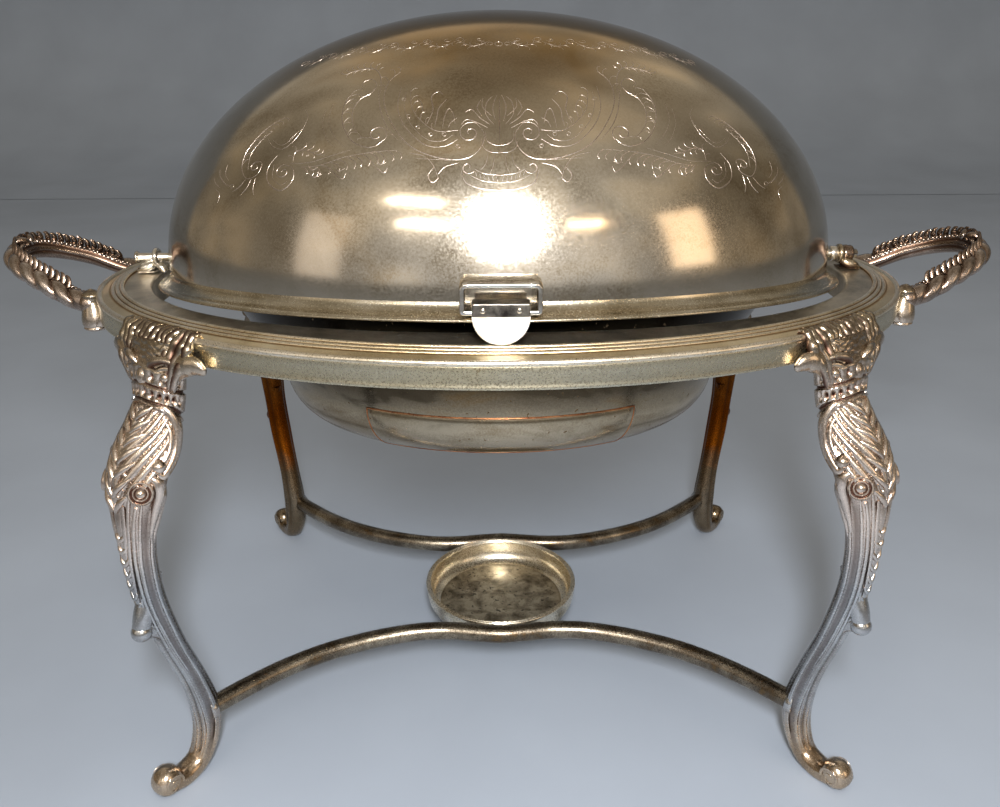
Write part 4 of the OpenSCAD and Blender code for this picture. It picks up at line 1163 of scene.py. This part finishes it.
def swash(points, width, count=50):
    """Smooth tapered line through points of the drawing."""
    t = np.linspace(0, 1, count)
    return catmull(points, count), width * (0.3 + 0.7 * np.sin(np.pi * t) ** 0.7)


def feathers(line, start, end, count, length, side, width):
    """Curved strokes that leave a line on one side, like the barbs of a feather."""
    lines, last = [], len(line) - 1
    for k, u in enumerate(np.linspace(start, end, count)):
        i = min(int(u * last), last - 1)
        ahead = unit(line[i + 1] - line[i])
        off = np.array([-ahead[1], ahead[0]]) * side
        reach = length * (0.6 + 0.4 * math.sin(math.pi * (k + 0.5) / count))
        steps = ((0.0, 0.0), (0.45, 0.25), (0.75, 0.7), (0.6, 1.05))
        lines.append(swash([line[i] + ahead * reach * p + off * reach * q for p, q in steps], width, 12))
    return lines


def half_frieze():
    """Lines of the right half of the engraved frieze: x across, y up from its lower edge, in millimetres."""
    lines = []

    def draw(*points, width=0.9):
        lines.append(swash(points, width, 16 + 9 * len(points)))
        return lines[-1][0]

    # Cartouche: shell crest, bell and volute
    draw((0, 52), (0, 40), (0, 27))
    draw((2, 38), (3.4, 46), (1.2, 54))
    draw((3, 36), (7, 42), (6.5, 49), (3.6, 53))
    draw((5, 36), (10, 40), (14, 45), (17.5, 43.5), width=1.1)
    draw((6, 34), (12, 37.5), (17, 39), (19.5, 36), width=1.0)
    draw((9, 41), (11.4, 46), (9.4, 51))
    draw((4, 41), (8.6, 46.4), (8.4, 52))
    lines.append(scroll(15, 31.4, 6.3, 0.9, 122, -400, 1.2))
    great = draw((12, 37), (8, 31), (9, 24), (15, 18), (25, 17), (38, 21), (48, 28.5), (56, 42), (60, 56),
                 (58, 69), (52, 76), width=1.2)
    draw((7.2, 32), (6.6, 27), (3.4, 24.6), (0, 24))
    draw((9, 28), (8.4, 23.4), (5, 20.6), (0, 20), width=0.7)
    draw((6, 20), (7, 14.4), (10, 11), width=0.6)
    draw((2.6, 19), (3.4, 13), (5, 9.4), width=0.6)
    # Ribbon under it
    lines.append(scroll(16, 12.6, 3.8, 0.8, 210, 560, 1.1))
    draw((12.6, 11.6), (8, 9.2), (0, 8.2))
    draw((19.4, 11), (17, 4.6), (9.6, 1.4), (0, 0.4), width=1.1)
    draw((15, 8.4), (8, 5.2), (0, 4.4), width=0.7)
    for k in range(6):
        x = 1.2 + 2.1 * k
        draw((x, 5.0 + 0.02 * x * x), (x + 0.3, 6.4 + 0.02 * x * x), (x + 0.7, 7.8 + 0.02 * x * x),
             width=0.45)
    # Great scroll: three lines with beads between, and flame leaves inside it
    draw((21, 28), (28, 24.4), (38, 26), (48, 37), (52.4, 50), (51, 64), width=1.0)
    draw((24, 30.4), (29, 27.4), (37, 29), (45.4, 38.6), (49, 50), (48.4, 60), width=0.6)
    inner = draw((21, 33), (32, 33.4), (40, 40), (45, 49), (46, 61), width=0.8)
    lines.extend(feathers(inner, 0.3, 0.95, 7, 5.0, 1, 0.6))
    draw((37, 38), (34, 46), (35, 54.5), (31.4, 58), (29, 55.4), width=1.2)
    draw((33, 36), (32, 41), (31, 47), (27, 52.4), width=1.1)
    draw((29, 34.6), (28, 41), (26, 46.4), (23.6, 43), (22.6, 37), width=1.1)
    draw((40, 42), (39.4, 49), (42, 55), width=0.8)
    draw((26, 35), (24.6, 38), (21.4, 40.4), width=0.8)
    for x, y in ((28, 31), (35, 31.6), (41.6, 36.4), (46.4, 43.6), (49.4, 55), (21, 24)):
        lines.append(scroll(x, y, 1.2, 1.0, 0, 350, 0.55, 14))
    draw((63.4, 65), (61.6, 50), (58, 39), (52, 30), width=0.9)
    # C scroll with a volute and a crest
    lines.append(scroll(63, 34.6, 5.7, 0.9, 230, -240, 1.1))
    outer = draw((59.4, 31), (63, 28), (69, 28), (77, 34), (82, 47), (81, 60), (76, 68), width=1.1)
    inner = draw((66, 33.4), (71, 34.4), (75.6, 42), (76.6, 52), (73, 60), (67, 63.4), (64.4, 69), (68, 74.4),
                 (72.6, 72), (71, 68.6), width=0.9)
    lines.extend(feathers(inner, 0.1, 0.45, 6, 4.2, -1, 0.55))
    lines.extend(feathers(outer, 0.55, 0.98, 6, 5.6, 1, 0.6))
    crest = draw((62, 62), (62.8, 75), (67, 83), (75, 85), (83, 84), width=1.0)
    lines.extend(feathers(crest, 0.35, 0.95, 8, 5.6, 1, 0.7) + feathers(crest, 0.5, 0.9, 4, 4.2, -1, 0.6))
    draw((88, 61), (89.6, 49), (86, 38), (80.6, 30), width=0.6)
    draw((91.6, 58), (93, 48), (90, 37), (86, 31), width=0.45)
    lines.extend(feathers(great, 0.86, 0.99, 4, 6.0, -1, 0.6))
    # Leaf band below the scrolls
    draw((46, 22), (38, 19.4), (33.4, 14), (31, 7.4), width=0.9)
    draw((31, 7.4), (34, 5.2), (36.2, 9), (33.4, 13), width=1.1)
    draw((31, 9.4), (28, 13), (21, 15), width=0.8)
    draw((42, 18.6), (32, 17.4), (23, 16.6), width=0.5)
    draw((112, 26.4), (100, 24), (88, 25.6), (76, 27.6), width=0.6)
    band = draw((104, 22), (94, 21), (80, 23.6), (66, 24.4), (52, 24), width=0.7)
    lines.extend(feathers(band, 0.04, 0.97, 13, 7.6, 1, 0.95))
    for x, y in ((97, 15), (82, 12), (60, 13)):
        draw((x + 6, y + 7), (x + 2.4, y + 2), (x - 1.4, y - 1), (x - 3, y + 2.2), width=1.2)
        draw((x + 3, y + 8), (x + 1.2, y + 4), (x - 2.6, y + 5), width=0.9)
    # Third scroll and its crest
    draw((118, 34), (123.4, 27), (123.4, 17), (116, 9.6), (109, 14), (108.6, 22), (114, 26.2), width=1.2)
    lines.append(scroll(114.4, 21.4, 4.8, 0.8, 96, -340, 1.2))
    draw((120, 28), (120.4, 19), (115.6, 13), (112, 14.6), width=0.6)
    crest = draw((109, 26), (107.4, 33), (102, 32.6), (96, 28.6), (90.6, 26.6), width=1.0)
    lines.extend(feathers(crest, 0.1, 0.8, 6, 4.8, -1, 0.9) + feathers(crest, 0.2, 0.7, 4, 3.6, 1, 0.7))
    # Fourth scroll, the tall feather over it and the sprig at the end
    tall = draw((127.6, 31), (130, 24.4), (137, 23.6), (140.6, 34), (138, 46), (131, 55), (124, 60),
                (116, 62), width=1.1)
    lines.append(scroll(131.6, 30.4, 4.4, 0.8, 190, -240, 1.2))
    inner = draw((136.4, 30), (135, 42), (129, 50), (122.6, 54.4), width=0.8)
    lines.extend(feathers(tall, 0.45, 0.98, 9, 6.4, 1, 0.8) + feathers(inner, 0.3, 0.9, 5, 4.4, -1, 0.6))
    draw((125, 49.6), (121.6, 42), (115, 37.6), (107, 43.6), (102, 55), (104, 63), width=0.7)
    draw((122, 47), (117.6, 41.4), (113, 41), (106.6, 47.4), width=0.45)
    draw((134, 22), (137, 16), (141, 12), width=1.0)
    draw((131, 22), (132.6, 15), (132, 10), width=0.9)
    draw((137.6, 23), (142, 18.6), (146, 17), width=0.9)
    draw((150.6, 42), (151.6, 34), (149, 27), width=0.8)
    draw((156, 41), (155.4, 34), (151.6, 26), (148, 22), width=1.0)
    draw((160, 36), (158.6, 30), (155, 24), width=0.8)
    draw((158, 24), (155, 18.6), (156.4, 12), width=0.8)
    lines.append(scroll(146.6, 21, 2.0, 0.7, 20, 400, 0.8, 24))
    return lines


def upper_band():
    """Fainter lines of the band near the top, right half."""
    lines = []
    for k in range(6):
        x = 13 + 18 * k
        y = 2 + 0.0019 * x * x
        arc = swash([(x - 8, y + 3.4), (x, y - 1.4), (x + 8, y + 4)], 0.7, 30)
        lines += [arc, scroll(x + 8.6, y + 6.4, 3.0, 0.8, 270, -110, 0.7, 30),
                  scroll(x - 3, y + 5.4, 2.4, 0.7, 200, 520, 0.6, 26)]
        lines += feathers(arc[0], 0.15, 0.9, 5, 3.8, -1, 0.55) + feathers(arc[0], 0.3, 0.8, 3, 4.2, 1, 0.5)
    for x, r in ((0, 2.2), (4.6, 1.6), (8.4, 1.2)):
        lines.append(scroll(x, 2.4 + 0.02 * x * x, r, r * 0.9, 0, 350, 0.8, 20))
    return lines


def build_engraving():
    f = finishes()
    half_width = bpy.context.scene.chafer_sizes.engraved_line / MM
    paths, radii = [], []
    for lines, base, scale in ((half_frieze(), 24.6, 1.0), (upper_band(), 59.6, 0.8)):
        for line, width in lines:
            for mirror in (1, -1):
                for face in (1, -1):
                    phi = base + np.degrees(line[:, 1] / DOME_B)
                    if face < 0:
                        phi = 180 - phi
                    width_mm = half_width * width * scale
                    point, normal = dome_place(mirror * line[:, 0], phi)
                    rows = spaced_by(np.concatenate([point - normal * (width_mm * 0.42)[:, None], normal,
                                                     width_mm[:, None]], 1), 1.1)
                    paths.append(rows[:, :3])
                    radii.append(rows[:, 6])
    source = polyline("engraving lines", paths, radii)
    work = run_tree(source, bar_tree(), {"Radius": MM, "Sides": 6, "Finish": f["burin-cut silver"]},
                    "dome_engraving")
    settle(work, "lid", [])


def rounded_block(shape, outline, y0, y1, edge, relief=0.5):
    """A block with rounded edges: an outline in the XZ plane drawn from y0 to y1."""
    middle = outline.mean(0)
    levels = []
    for k in range(6):
        t = math.pi / 2 * k / 5
        levels.append((y0 + edge * (1 - math.cos(t)), edge * (1 - math.sin(t))))
    for k in range(5, -1, -1):
        t = math.pi / 2 * k / 5
        levels.append((y1 - edge * (1 - math.cos(t)), edge * (1 - math.sin(t))))
    span = np.abs(outline - middle).max(0)
    grid = []
    for y, inset in levels:
        scaled = middle + (outline - middle) * (1 - inset / span)
        grid.append(np.stack([scaled[:, 0], np.full(len(scaled), y), scaled[:, 1]], 1))
    shape.rings(np.stack(grid), relief)


def rounded_rectangle(x0, x1, z0, z1, r, steps=6):
    points = []
    for cx, cz, start in ((x1 - r, z1 - r, 0), (x0 + r, z1 - r, 90), (x0 + r, z0 + r, 180),
                          (x1 - r, z0 + r, 270)):
        for k in range(steps + 1):
            t = math.radians(start + 90 * k / steps)
            points.append((cx + r * math.cos(t), cz + r * math.sin(t)))
    return np.array(points)


def build_grip():
    f = finishes()
    x1 = high("lid_stirrup")[0]
    reach = low("lid_stirrup")[1]
    grip = high("lid_grip")[0]
    toe = low("lid_stirrup")[2]
    wall = 2.5
    # Stirrup: shelf, cheeks and toes as one bent strap whose back meets the dome
    outline = [(grip, toe), (x1 - 1.2, toe), (x1, toe + 1.4), (x1, SHELF_TOP - 2.2), (x1 - 2.0, SHELF_TOP),
               (0, SHELF_TOP)]
    inside = [(grip, toe + wall), (x1 - wall, toe + wall), (x1 - wall, toe + wall + 0.4),
              (x1 - wall, SHELF_TOP - wall - 0.6),
              (x1 - wall - 0.8, SHELF_TOP - wall), (0, SHELF_TOP - wall)]
    outer = np.array(outline + [(-x, z) for x, z in outline[-2::-1]], float)
    inner = np.array(inside + [(-x, z) for x, z in inside[-2::-1]], float)
    outer, inner = catmull_straight(outer, 6), catmull_straight(inner, 6)
    rows = []
    for o, i in zip(outer, inner):
        ring = []
        for (x, z), front in ((o, False), (o, True), (i, True), (i, False)):
            share = math.sqrt(max(1 - (x / DOME_A) ** 2, 0))
            rise = z - AXIS_Z
            back = -math.sqrt(max((DOME_B * share) ** 2 - rise ** 2, 0)) + 0.8
            ring.append((x, reach if front else back, z))
        o1, f1, f2, i1 = [np.array(p, float) for p in ring]
        edge = np.array([0, 0.5, 0])
        rows.append([o1, f1 + edge, f1 + (f2 - f1) * 0.2, f2 + (f1 - f2) * 0.2, f2 + edge, i1])
    shape = Shape()
    shape.rings(np.array(rows), 0.6)
    shape.settle("lid_stirrup", "bright turned plate", "lid", ["lid_stirrup"], "cast_silver")

    shape = Shape()
    block = rounded_rectangle(-grip, grip, GRIP_TOP, high("grip_ferrule")[2], 1.0)
    rounded_block(shape, block, low("grip_ferrule")[1], high("grip_ferrule")[1], 0.8)
    shape.settle("grip_ferrule", "blackened ferrule", "lid", ["grip_ferrule"], "ferrule_dark")
    places = [(x, low("grip_ferrule")[1] - 0.1, (GRIP_TOP + high("grip_ferrule")[2]) / 2) for x in (-9, 9)]
    settle(beads("grip_rivets", places, 0.0015, f["bright turned plate"], (1, 0.55, 1)), "lid",
           ["grip_rivets"])

    # Half-round grip with softened edges
    t = np.radians(np.linspace(180, 360, 49))
    arc = np.stack([grip * np.cos(t), GRIP_TOP + (GRIP_TOP - GRIP_LOW) * np.sin(t)], 1)
    flat = np.stack([np.linspace(grip - 0.7, -grip + 0.7, 14), np.full(14, GRIP_TOP)], 1)
    shape = Shape()
    rounded_block(shape, np.concatenate([arc, flat]), GRIP_FRONT, GRIP_BACK, 2.4)
    shape.settle("lid_grip", "polished ivory-coloured grip", "lid", ["lid_grip"], "ivory")


def catmull_straight(points, steps):
    """Straight runs between the points, with more points on each."""
    rows = []
    for p, q in zip(points[:-1], points[1:]):
        rows += [p + (q - p) * k / steps for k in range(steps)]
    return np.array(rows + [points[-1]])


# ---------- pans ----------

def pan_side(inset, steps):
    """Levels of the water pan's wall, from its floor up: half length, half width, height."""
    half_long, half_wide, r = 148, 114, 35.0
    rows = []
    for k in range(steps + 1):
        t = math.radians(90 - 90 * k / steps)
        turn_in = r * (1 - math.cos(t)) + inset
        rows.append((half_long - turn_in, half_wide - turn_in, PAN_LOW + r - (r - inset) * math.sin(t)))
    return rows


def build_water_pan():
    f = finishes()
    wall = 1.4
    a, b = PAN_A - 8, PAN_B - 5
    top = PAN_TOP

    def climb(inset):
        lower = pan_side(inset, 12)
        la, lb, lz = lower[-1]
        rise = [(la + (a - inset - la) * u, lb + (b - inset - lb) * u,
                 lz + (top - 1.4 - lz) * u) for u in (0.15, 0.35, 0.6, 0.85, 0.97)]
        return lower + rise

    outside, inside = climb(0), climb(wall)
    floor_out = [(3, 2.4, PAN_LOW), (60, 45, PAN_LOW)]
    floor_in = [(60, 45, PAN_LOW + wall), (3, 2.4, PAN_LOW + wall)]
    rim = [(a, b, top - 1.4), (PAN_A - 1, PAN_B - 1, top - 1.4), (PAN_A, PAN_B, top - 0.8),
           (PAN_A - 0.2, PAN_B - 0.2, top - 0.1), (PAN_A - 1, PAN_B - 1, top),
           (a - wall, b - wall, top)]
    shape = Shape()
    shape.rings(oval_levels(floor_out + outside + rim + inside[::-1] + floor_in), 0.6)
    shape.settle("water_pan", "mottled tinned sheet with painted top shade", "water_bath", ["water_pan"], "pan_grey")

    # Soldered panel on the front of the pan, and the raised line at its edge, copper-coloured as a painted
    # highlight
    half, count = 33.0, 72
    levels = pan_side(0, 24)[9:]
    t = np.radians(np.linspace(-90 - half, -90 + half, count))

    def skin(lift):
        return np.stack([np.stack([(p + lift) * np.cos(t), (q + lift) * np.sin(t), np.full(count, z)],
                                  1) for p, q, z in levels])

    edge = np.ones((len(levels), count))
    edge[0], edge[-1], edge[:, 0], edge[:, -1] = 0, 0, 0, 0
    outer, inner = skin(0.98), skin(-0.3)
    outer = inner + (outer - inner) * (0.35 + 0.65 * edge[..., None])
    rows, cols = outer.shape[:2]
    points = np.concatenate([outer.reshape(-1, 3), inner.reshape(-1, 3)])
    total = rows * cols
    faces = []
    for i in range(rows - 1):
        for j in range(cols - 1):
            p = i * cols + j
            faces += [[p, p + 1, p + cols + 1, p + cols], [total + p + cols, total + p + cols + 1,
                                                           total + p + 1, total + p]]
    border = list(range(cols)) + [i * cols + cols - 1 for i in range(1, rows)] + \
             [(rows - 1) * cols + j for j in range(cols - 2, -1, -1)] + [i * cols for i in range(rows - 2, 0,
                     -1)]
    for p, q in zip(border, border[1:] + border[:1]):
        faces.append([p, q, total + q, total + p])
    shape = Shape()
    shape.put(points, faces, 0.6)
    settle(shape.mesh("pan_front_panel", f["mottled tinned sheet with painted top shade"]), "water_bath", ["pan_front_plate"])
    line = outer.reshape(-1, 3)[border + border[:1]]
    source = polyline("panel edge line", [spaced(line, 1.5)], [1.0])
    edge_line = run_tree(source, bar_tree(), {"Radius": 0.0005, "Sides": 6, "Finish": f["panel edge with painted copper highlight"]},
                         "panel_edge")
    settle(edge_line, "water_bath", [])

    for node in ("pan_hanger_left", "pan_hanger_right"):
        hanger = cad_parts[node]
        hanger.data.materials.clear()
        hanger.data.materials.append(f["mottled tinned sheet with painted top shade"])
    places = [(s * (DOME_A - 21), y, PAN_TOP + 2.4) for s in (-1, 1) for y in (-7.5, 7.5)]
    settle(beads("hanger_rivets", places, 0.002, f["bright turned plate"], (1, 1, 0.4)), "water_bath",
           ["hanger_rivets"])


def build_food_pan():
    a, b = PAN_A - 14, PAN_B - 10.5
    wall, edge = 1.4, 12.0
    floor_z, rim_z = PAN_LOW + 42, PAN_TOP + 0.2
    outer, inner = [], []
    for k in range(9):
        t = math.radians(90 - 11.25 * k)
        outer.append((a - 26 - edge * (1 - math.cos(t)), b - 16 - edge * (1 - math.cos(t)),
                      floor_z + edge * (1 - math.sin(t))))
        inner.append((a - 26 - wall - (edge - wall) * (1 - math.cos(t)),
                      b - 16 - wall - (edge - wall) * (1 - math.cos(t)),
                      floor_z + edge - (edge - wall) * math.sin(t)))
    la, lb, lz = outer[-1]
    ia, ib, iz = inner[-1]
    steps = (0.25, 0.5, 0.75, 0.95)
    outer += [(la + (a - la) * u, lb + (b - lb) * u, lz + (rim_z - lz) * u) for u in steps]
    inner += [(ia + (a - wall - ia) * u, ib + (b - wall - ib) * u,
               iz + (rim_z + wall - iz) * u) for u in steps]
    rim = [(a + 0.2, b + 0.2, rim_z), (a + 7.7, b + 5.7, rim_z), (a + 8.4, b + 6.4, rim_z + 0.4),
           (a + 8.4, b + 6.4, rim_z + 1.0), (a + 7.6, b + 5.6, rim_z + wall),
           (a + 1, b + 0.8, rim_z + wall), (a - wall + 0.6, b - wall + 0.5, rim_z + wall - 0.1)]
    levels = [(3, 2, floor_z), (70, 48, floor_z)] + outer + rim + inner[::-1] + [(70, 48, floor_z + wall),
            (3, 2, floor_z + wall)]
    shape = Shape()
    shape.rings(oval_levels(levels, 240), 0.6)
    shape.settle("food_pan", "bright turned plate", "food_tray", ["food_pan"], "pan_grey")


# ---------- stage ----------

def aim(thing, place, target):
    """Puts a light at a place and points it at a target, both in metres."""
    back = unit(np.array(place, float) - np.array(target, float))
    side = unit(np.cross([0, 0, 1.0] if abs(back[2]) < 0.99 else [0, 1.0, 0], back))
    up = np.cross(back, side)
    thing.matrix_world = Matrix([[side[i], up[i], back[i], place[i]] for i in range(3)] + [[0, 0, 0, 1]])


def area_light(name, place, target, size, power, colour):
    data = bpy.data.lights.new(name, "AREA")
    data.shape = "RECTANGLE"
    data.size, data.size_y = size
    data.energy = power
    data.color = linear(colour)
    lamp = linked(name, data)
    aim(lamp, place, target)
    return lamp


def build_stage():
    f = finishes()
    scene = bpy.context.scene
    # Round flat floor, wide enough to meet the horizon
    radii, cols = [20, 400, 1000, 2500, 6000, 14000], 96
    t = np.arange(cols) * TAU / cols
    points = np.concatenate([np.stack([r * np.cos(t), r * np.sin(t), 0 * t], 1) for r in radii]) * MM
    faces = [[(i + 1) * cols + k, (i + 1) * cols + (k + 1) % cols, i * cols + (k + 1) % cols, i * cols + k]
             for i in range(len(radii) - 1) for k in range(cols)] + [list(range(cols))]
    data = bpy.data.meshes.new("studio_floor")
    data.from_pydata(points.tolist(), [], faces)
    data.materials.append(f["painted studio floor"])
    floor = linked("studio_floor", data)
    # Backdrop behind the floor, joined to it by a cove
    rise = [(2.2, 0.0), (2.6, 0.02), (2.9, 0.12), (3.1, 0.32), (3.2, 0.6), (3.24, 1.4), (3.24, 3.0)]
    data = bpy.data.meshes.new("studio_backdrop")
    data.from_pydata([(x, y, z + 0.001) for y, z in rise for x in (-7, 7)], [],
                     [(2 * i, 2 * i + 1, 2 * i + 3, 2 * i + 2) for i in range(len(rise) - 1)])
    data.polygons.foreach_set("use_smooth", [True] * len(data.polygons))
    data.materials.append(f["painted studio floor"])
    backdrop = linked("studio_backdrop", data)

    # Camera in front of the lid grip, looking slightly down
    data = bpy.data.cameras.new("camera")
    data.sensor_width = 36.0
    data.lens = 30.92   # 60 degrees across
    data.shift_x = -0.002
    data.clip_start = 0.01
    camera = linked("camera", data)
    pitch, yaw, roll = 0.3905, 0.008, -0.004
    ahead = np.array([math.sin(yaw) * math.cos(pitch), math.cos(yaw) * math.cos(pitch), -math.sin(pitch)])
    right = np.array([math.cos(yaw), -math.sin(yaw), 0])
    up = np.cross(right, ahead)
    right, up = math.cos(roll) * right + math.sin(roll) * up, math.cos(roll) * up - math.sin(roll) * right
    place = (-0.003, -0.574, 0.432)
    camera.matrix_world = Matrix([[right[i], up[i], -ahead[i], place[i]] for i in range(3)] + [[0, 0, 0, 1]])
    scene.camera = camera

    # Wide overhead light for the floor alone, two side boxes, three narrow tubes, a small frontal light
    overhead = area_light("overhead", (0.1, -0.2, 2.6), (0, 0, 0), (3.4, 3.0), 31, "#FFF8F0")
    overhead.visible_glossy = False
    area_light("left box", (-1.5, -1.3, 0.75), (0, 0, 0.2), (0.5, 0.9), 0.8, "#FFF0E0")
    area_light("right box", (1.6, -1.2, 0.8), (0, 0, 0.2), (0.5, 0.8), 2.2, "#FFE2C0")
    area_light("tube left", (-0.75, -1.6, 1.5), (0, 0, 0.35), (0.5, 0.03), 1.6, "#FFF2E0")
    area_light("tube low left", (-0.72, -1.9, 1.25), (0, 0, 0.35), (0.5, 0.03), 1.6, "#FFF2E0")
    area_light("tube right", (0.9, -2.0, 1.3), (0, 0, 0.35), (0.36, 0.03), 1.2, "#FFE2BE")
    area_light("frontal", (0.015, -0.68, 0.6), (0, 0, 0.25), (0.08, 0.2), 10, "#FFFFFF")

    # Room: pale at the horizon, a little darker overhead and at the sides, with soft patches of light
    world = bpy.data.worlds.new("room")
    world.use_nodes = True
    scene.world = world
    tree = world.node_tree
    tree.nodes.clear()
    out = add(tree, "ShaderNodeOutputWorld")
    where = add(tree, "ShaderNodeTexCoord").outputs["Generated"]
    z = add(tree, "ShaderNodeSeparateXYZ", links={0: where}).outputs["Z"]
    sky = ramp(tree, [(0.0, "#C6C5C4"), (0.22, "#C4C1BD"), (0.5, "#BEBAB2"), (0.8, "#B2AB9F"),
                      (1.0, "#8E8474")], z)
    blobs = add(tree, "ShaderNodeTexNoise", {"Scale": 2.6, "Detail": 4.0, "Roughness": 0.55,
                                             "Distortion": 0.6}, {"Vector": where})
    patch = ramp(tree, [(0.36, (0.72, 0.69, 0.65)), (0.5, (1.05, 1.05, 1.05)), (0.66, (1.7, 1.6, 1.45))],
                 blobs.outputs["Fac"])
    mixed = add(tree, "ShaderNodeMix", {0: 1.0}, {6: sky, 7: patch}, data_type="RGBA",
                blend_type="MULTIPLY").outputs[2]
    side = add(tree, "ShaderNodeMath", links={0: add(tree, "ShaderNodeSeparateXYZ",
                                                     links={0: where}).outputs["X"]}, operation="ABSOLUTE")
    walls = ramp(tree, [(0.4, (1.0, 1.0, 1.0)), (0.85, (0.34, 0.3, 0.24))], side.outputs[0])
    mixed = add(tree, "ShaderNodeMix", {0: 1.0}, {6: mixed, 7: walls}, data_type="RGBA",
                blend_type="MULTIPLY").outputs[2]
    shade = add(tree, "ShaderNodeBackground", {"Strength": 1.0}, {"Color": mixed})
    tree.links.new(shade.outputs[0], out.inputs["Surface"])
    scene.view_settings.view_transform = "Standard"


# ---------- operators ----------

class CHAFER_OT_stage(bpy.types.Operator):
    """Lay the floor, set the camera and hang the lights"""
    bl_idname = "chafer.stage"
    bl_label = "Stage"

    def execute(self, context):
        build_stage()
        return {"FINISHED"}


class CHAFER_OT_deck(bpy.types.Operator):
    """Make the deck sheet, its reeded border and its skirt"""
    bl_idname = "chafer.deck"
    bl_label = "Deck, border and skirt"

    def execute(self, context):
        build_deck()
        return {"FINISHED"}


class CHAFER_OT_legs(bpy.types.Operator):
    """Cast the four cabriole legs with their plumes, volutes and scrolled toes"""
    bl_idname = "chafer.legs"
    bl_label = "Legs"

    def execute(self, context):
        for sy, row, finish in ((-1, "front", "cast silver plate"), (1, "rear", "heat-stained cast plate")):
            for sx, hand in ((-1, "left"), (1, "right")):
                build_leg(f"leg_{row}_{hand}", sx, sy, finish)
        return {"FINISHED"}


class CHAFER_OT_stretchers(bpy.types.Operator):
    """Bend the two stretchers and fit their collars"""
    bl_idname = "chafer.stretchers"
    bl_label = "Stretchers"

    def execute(self, context):
        build_stretchers()
        return {"FINISHED"}


class CHAFER_OT_burner_cup(bpy.types.Operator):
    """Spin the burner cup and its stepped rim"""
    bl_idname = "chafer.burner_cup"
    bl_label = "Burner cup"

    def execute(self, context):
        build_cup()
        return {"FINISHED"}


class CHAFER_OT_handles(bpy.types.Operator):
    """Cast the gadrooned side handles, their beads and bells"""
    bl_idname = "chafer.handles"
    bl_label = "Side handles"

    def execute(self, context):
        build_handles()
        return {"FINISHED"}


class CHAFER_OT_pivots(bpy.types.Operator):
    """Make the pivot brackets, pins, sleeve and collar"""
    bl_idname = "chafer.pivots"
    bl_label = "Pivots"

    def execute(self, context):
        build_pivots()
        return {"FINISHED"}


class CHAFER_OT_dome(bpy.types.Operator):
    """Raise the dome and solder on its rim and bosses"""
    bl_idname = "chafer.dome"
    bl_label = "Dome"

    def execute(self, context):
        build_dome()
        return {"FINISHED"}


class CHAFER_OT_engraving(bpy.types.Operator):
    """Cut the scrollwork frieze into the dome"""
    bl_idname = "chafer.engraving"
    bl_label = "Engraving"

    def execute(self, context):
        build_engraving()
        return {"FINISHED"}


class CHAFER_OT_grip(bpy.types.Operator):
    """Make the lid's stirrup, ferrule, rivets and grip"""
    bl_idname = "chafer.grip"
    bl_label = "Lid grip"

    def execute(self, context):
        build_grip()
        return {"FINISHED"}


class CHAFER_OT_water_pan(bpy.types.Operator):
    """Make the water pan, its front panel and the hangers' rivets, and give the hangers the pan's finish"""
    bl_idname = "chafer.water_pan"
    bl_label = "Water pan"

    def execute(self, context):
        build_water_pan()
        return {"FINISHED"}


class CHAFER_OT_food_pan(bpy.types.Operator):
    """Make the food pan that rests in the water pan"""
    bl_idname = "chafer.food_pan"
    bl_label = "Food pan"

    def execute(self, context):
        build_food_pan()
        return {"FINISHED"}


STEPS = (CHAFER_OT_stage, CHAFER_OT_deck, CHAFER_OT_legs, CHAFER_OT_stretchers, CHAFER_OT_burner_cup,
         CHAFER_OT_handles,
         CHAFER_OT_pivots, CHAFER_OT_dome, CHAFER_OT_engraving, CHAFER_OT_grip, CHAFER_OT_water_pan,
         CHAFER_OT_food_pan)


class CHAFER_PT_panel(bpy.types.Panel):
    """Lists the chafer's sizes, finishes and pieces"""
    bl_idname = "CHAFER_PT_panel"
    bl_label = "Roll top chafer"
    bl_space_type = "VIEW_3D"
    bl_region_type = "UI"
    bl_category = "Chafer"

    def draw(self, context):
        layout = self.layout
        for group in (context.scene.chafer_sizes, context.scene.chafer_finishes):
            box = layout.box()
            for key in group.__annotations__:
                box.prop(group, key)
        for step in STEPS:
            layout.operator(step.bl_idname)


CLASSES = (ChaferSizes, ChaferFinishes, *STEPS, CHAFER_PT_panel)


def register():
    for item in CLASSES:
        bpy.utils.register_class(item)
    bpy.types.Scene.chafer_sizes = bpy.props.PointerProperty(type=ChaferSizes)
    bpy.types.Scene.chafer_finishes = bpy.props.PointerProperty(type=ChaferFinishes)


def unregister():
    del bpy.types.Scene.chafer_finishes
    del bpy.types.Scene.chafer_sizes
    for item in reversed(CLASSES):
        bpy.utils.unregister_class(item)


def main():
    register()
    for step in STEPS:
        group, name = step.bl_idname.split(".")
        getattr(getattr(bpy.ops, group), name)()


if __name__ == "__main__":
    main()
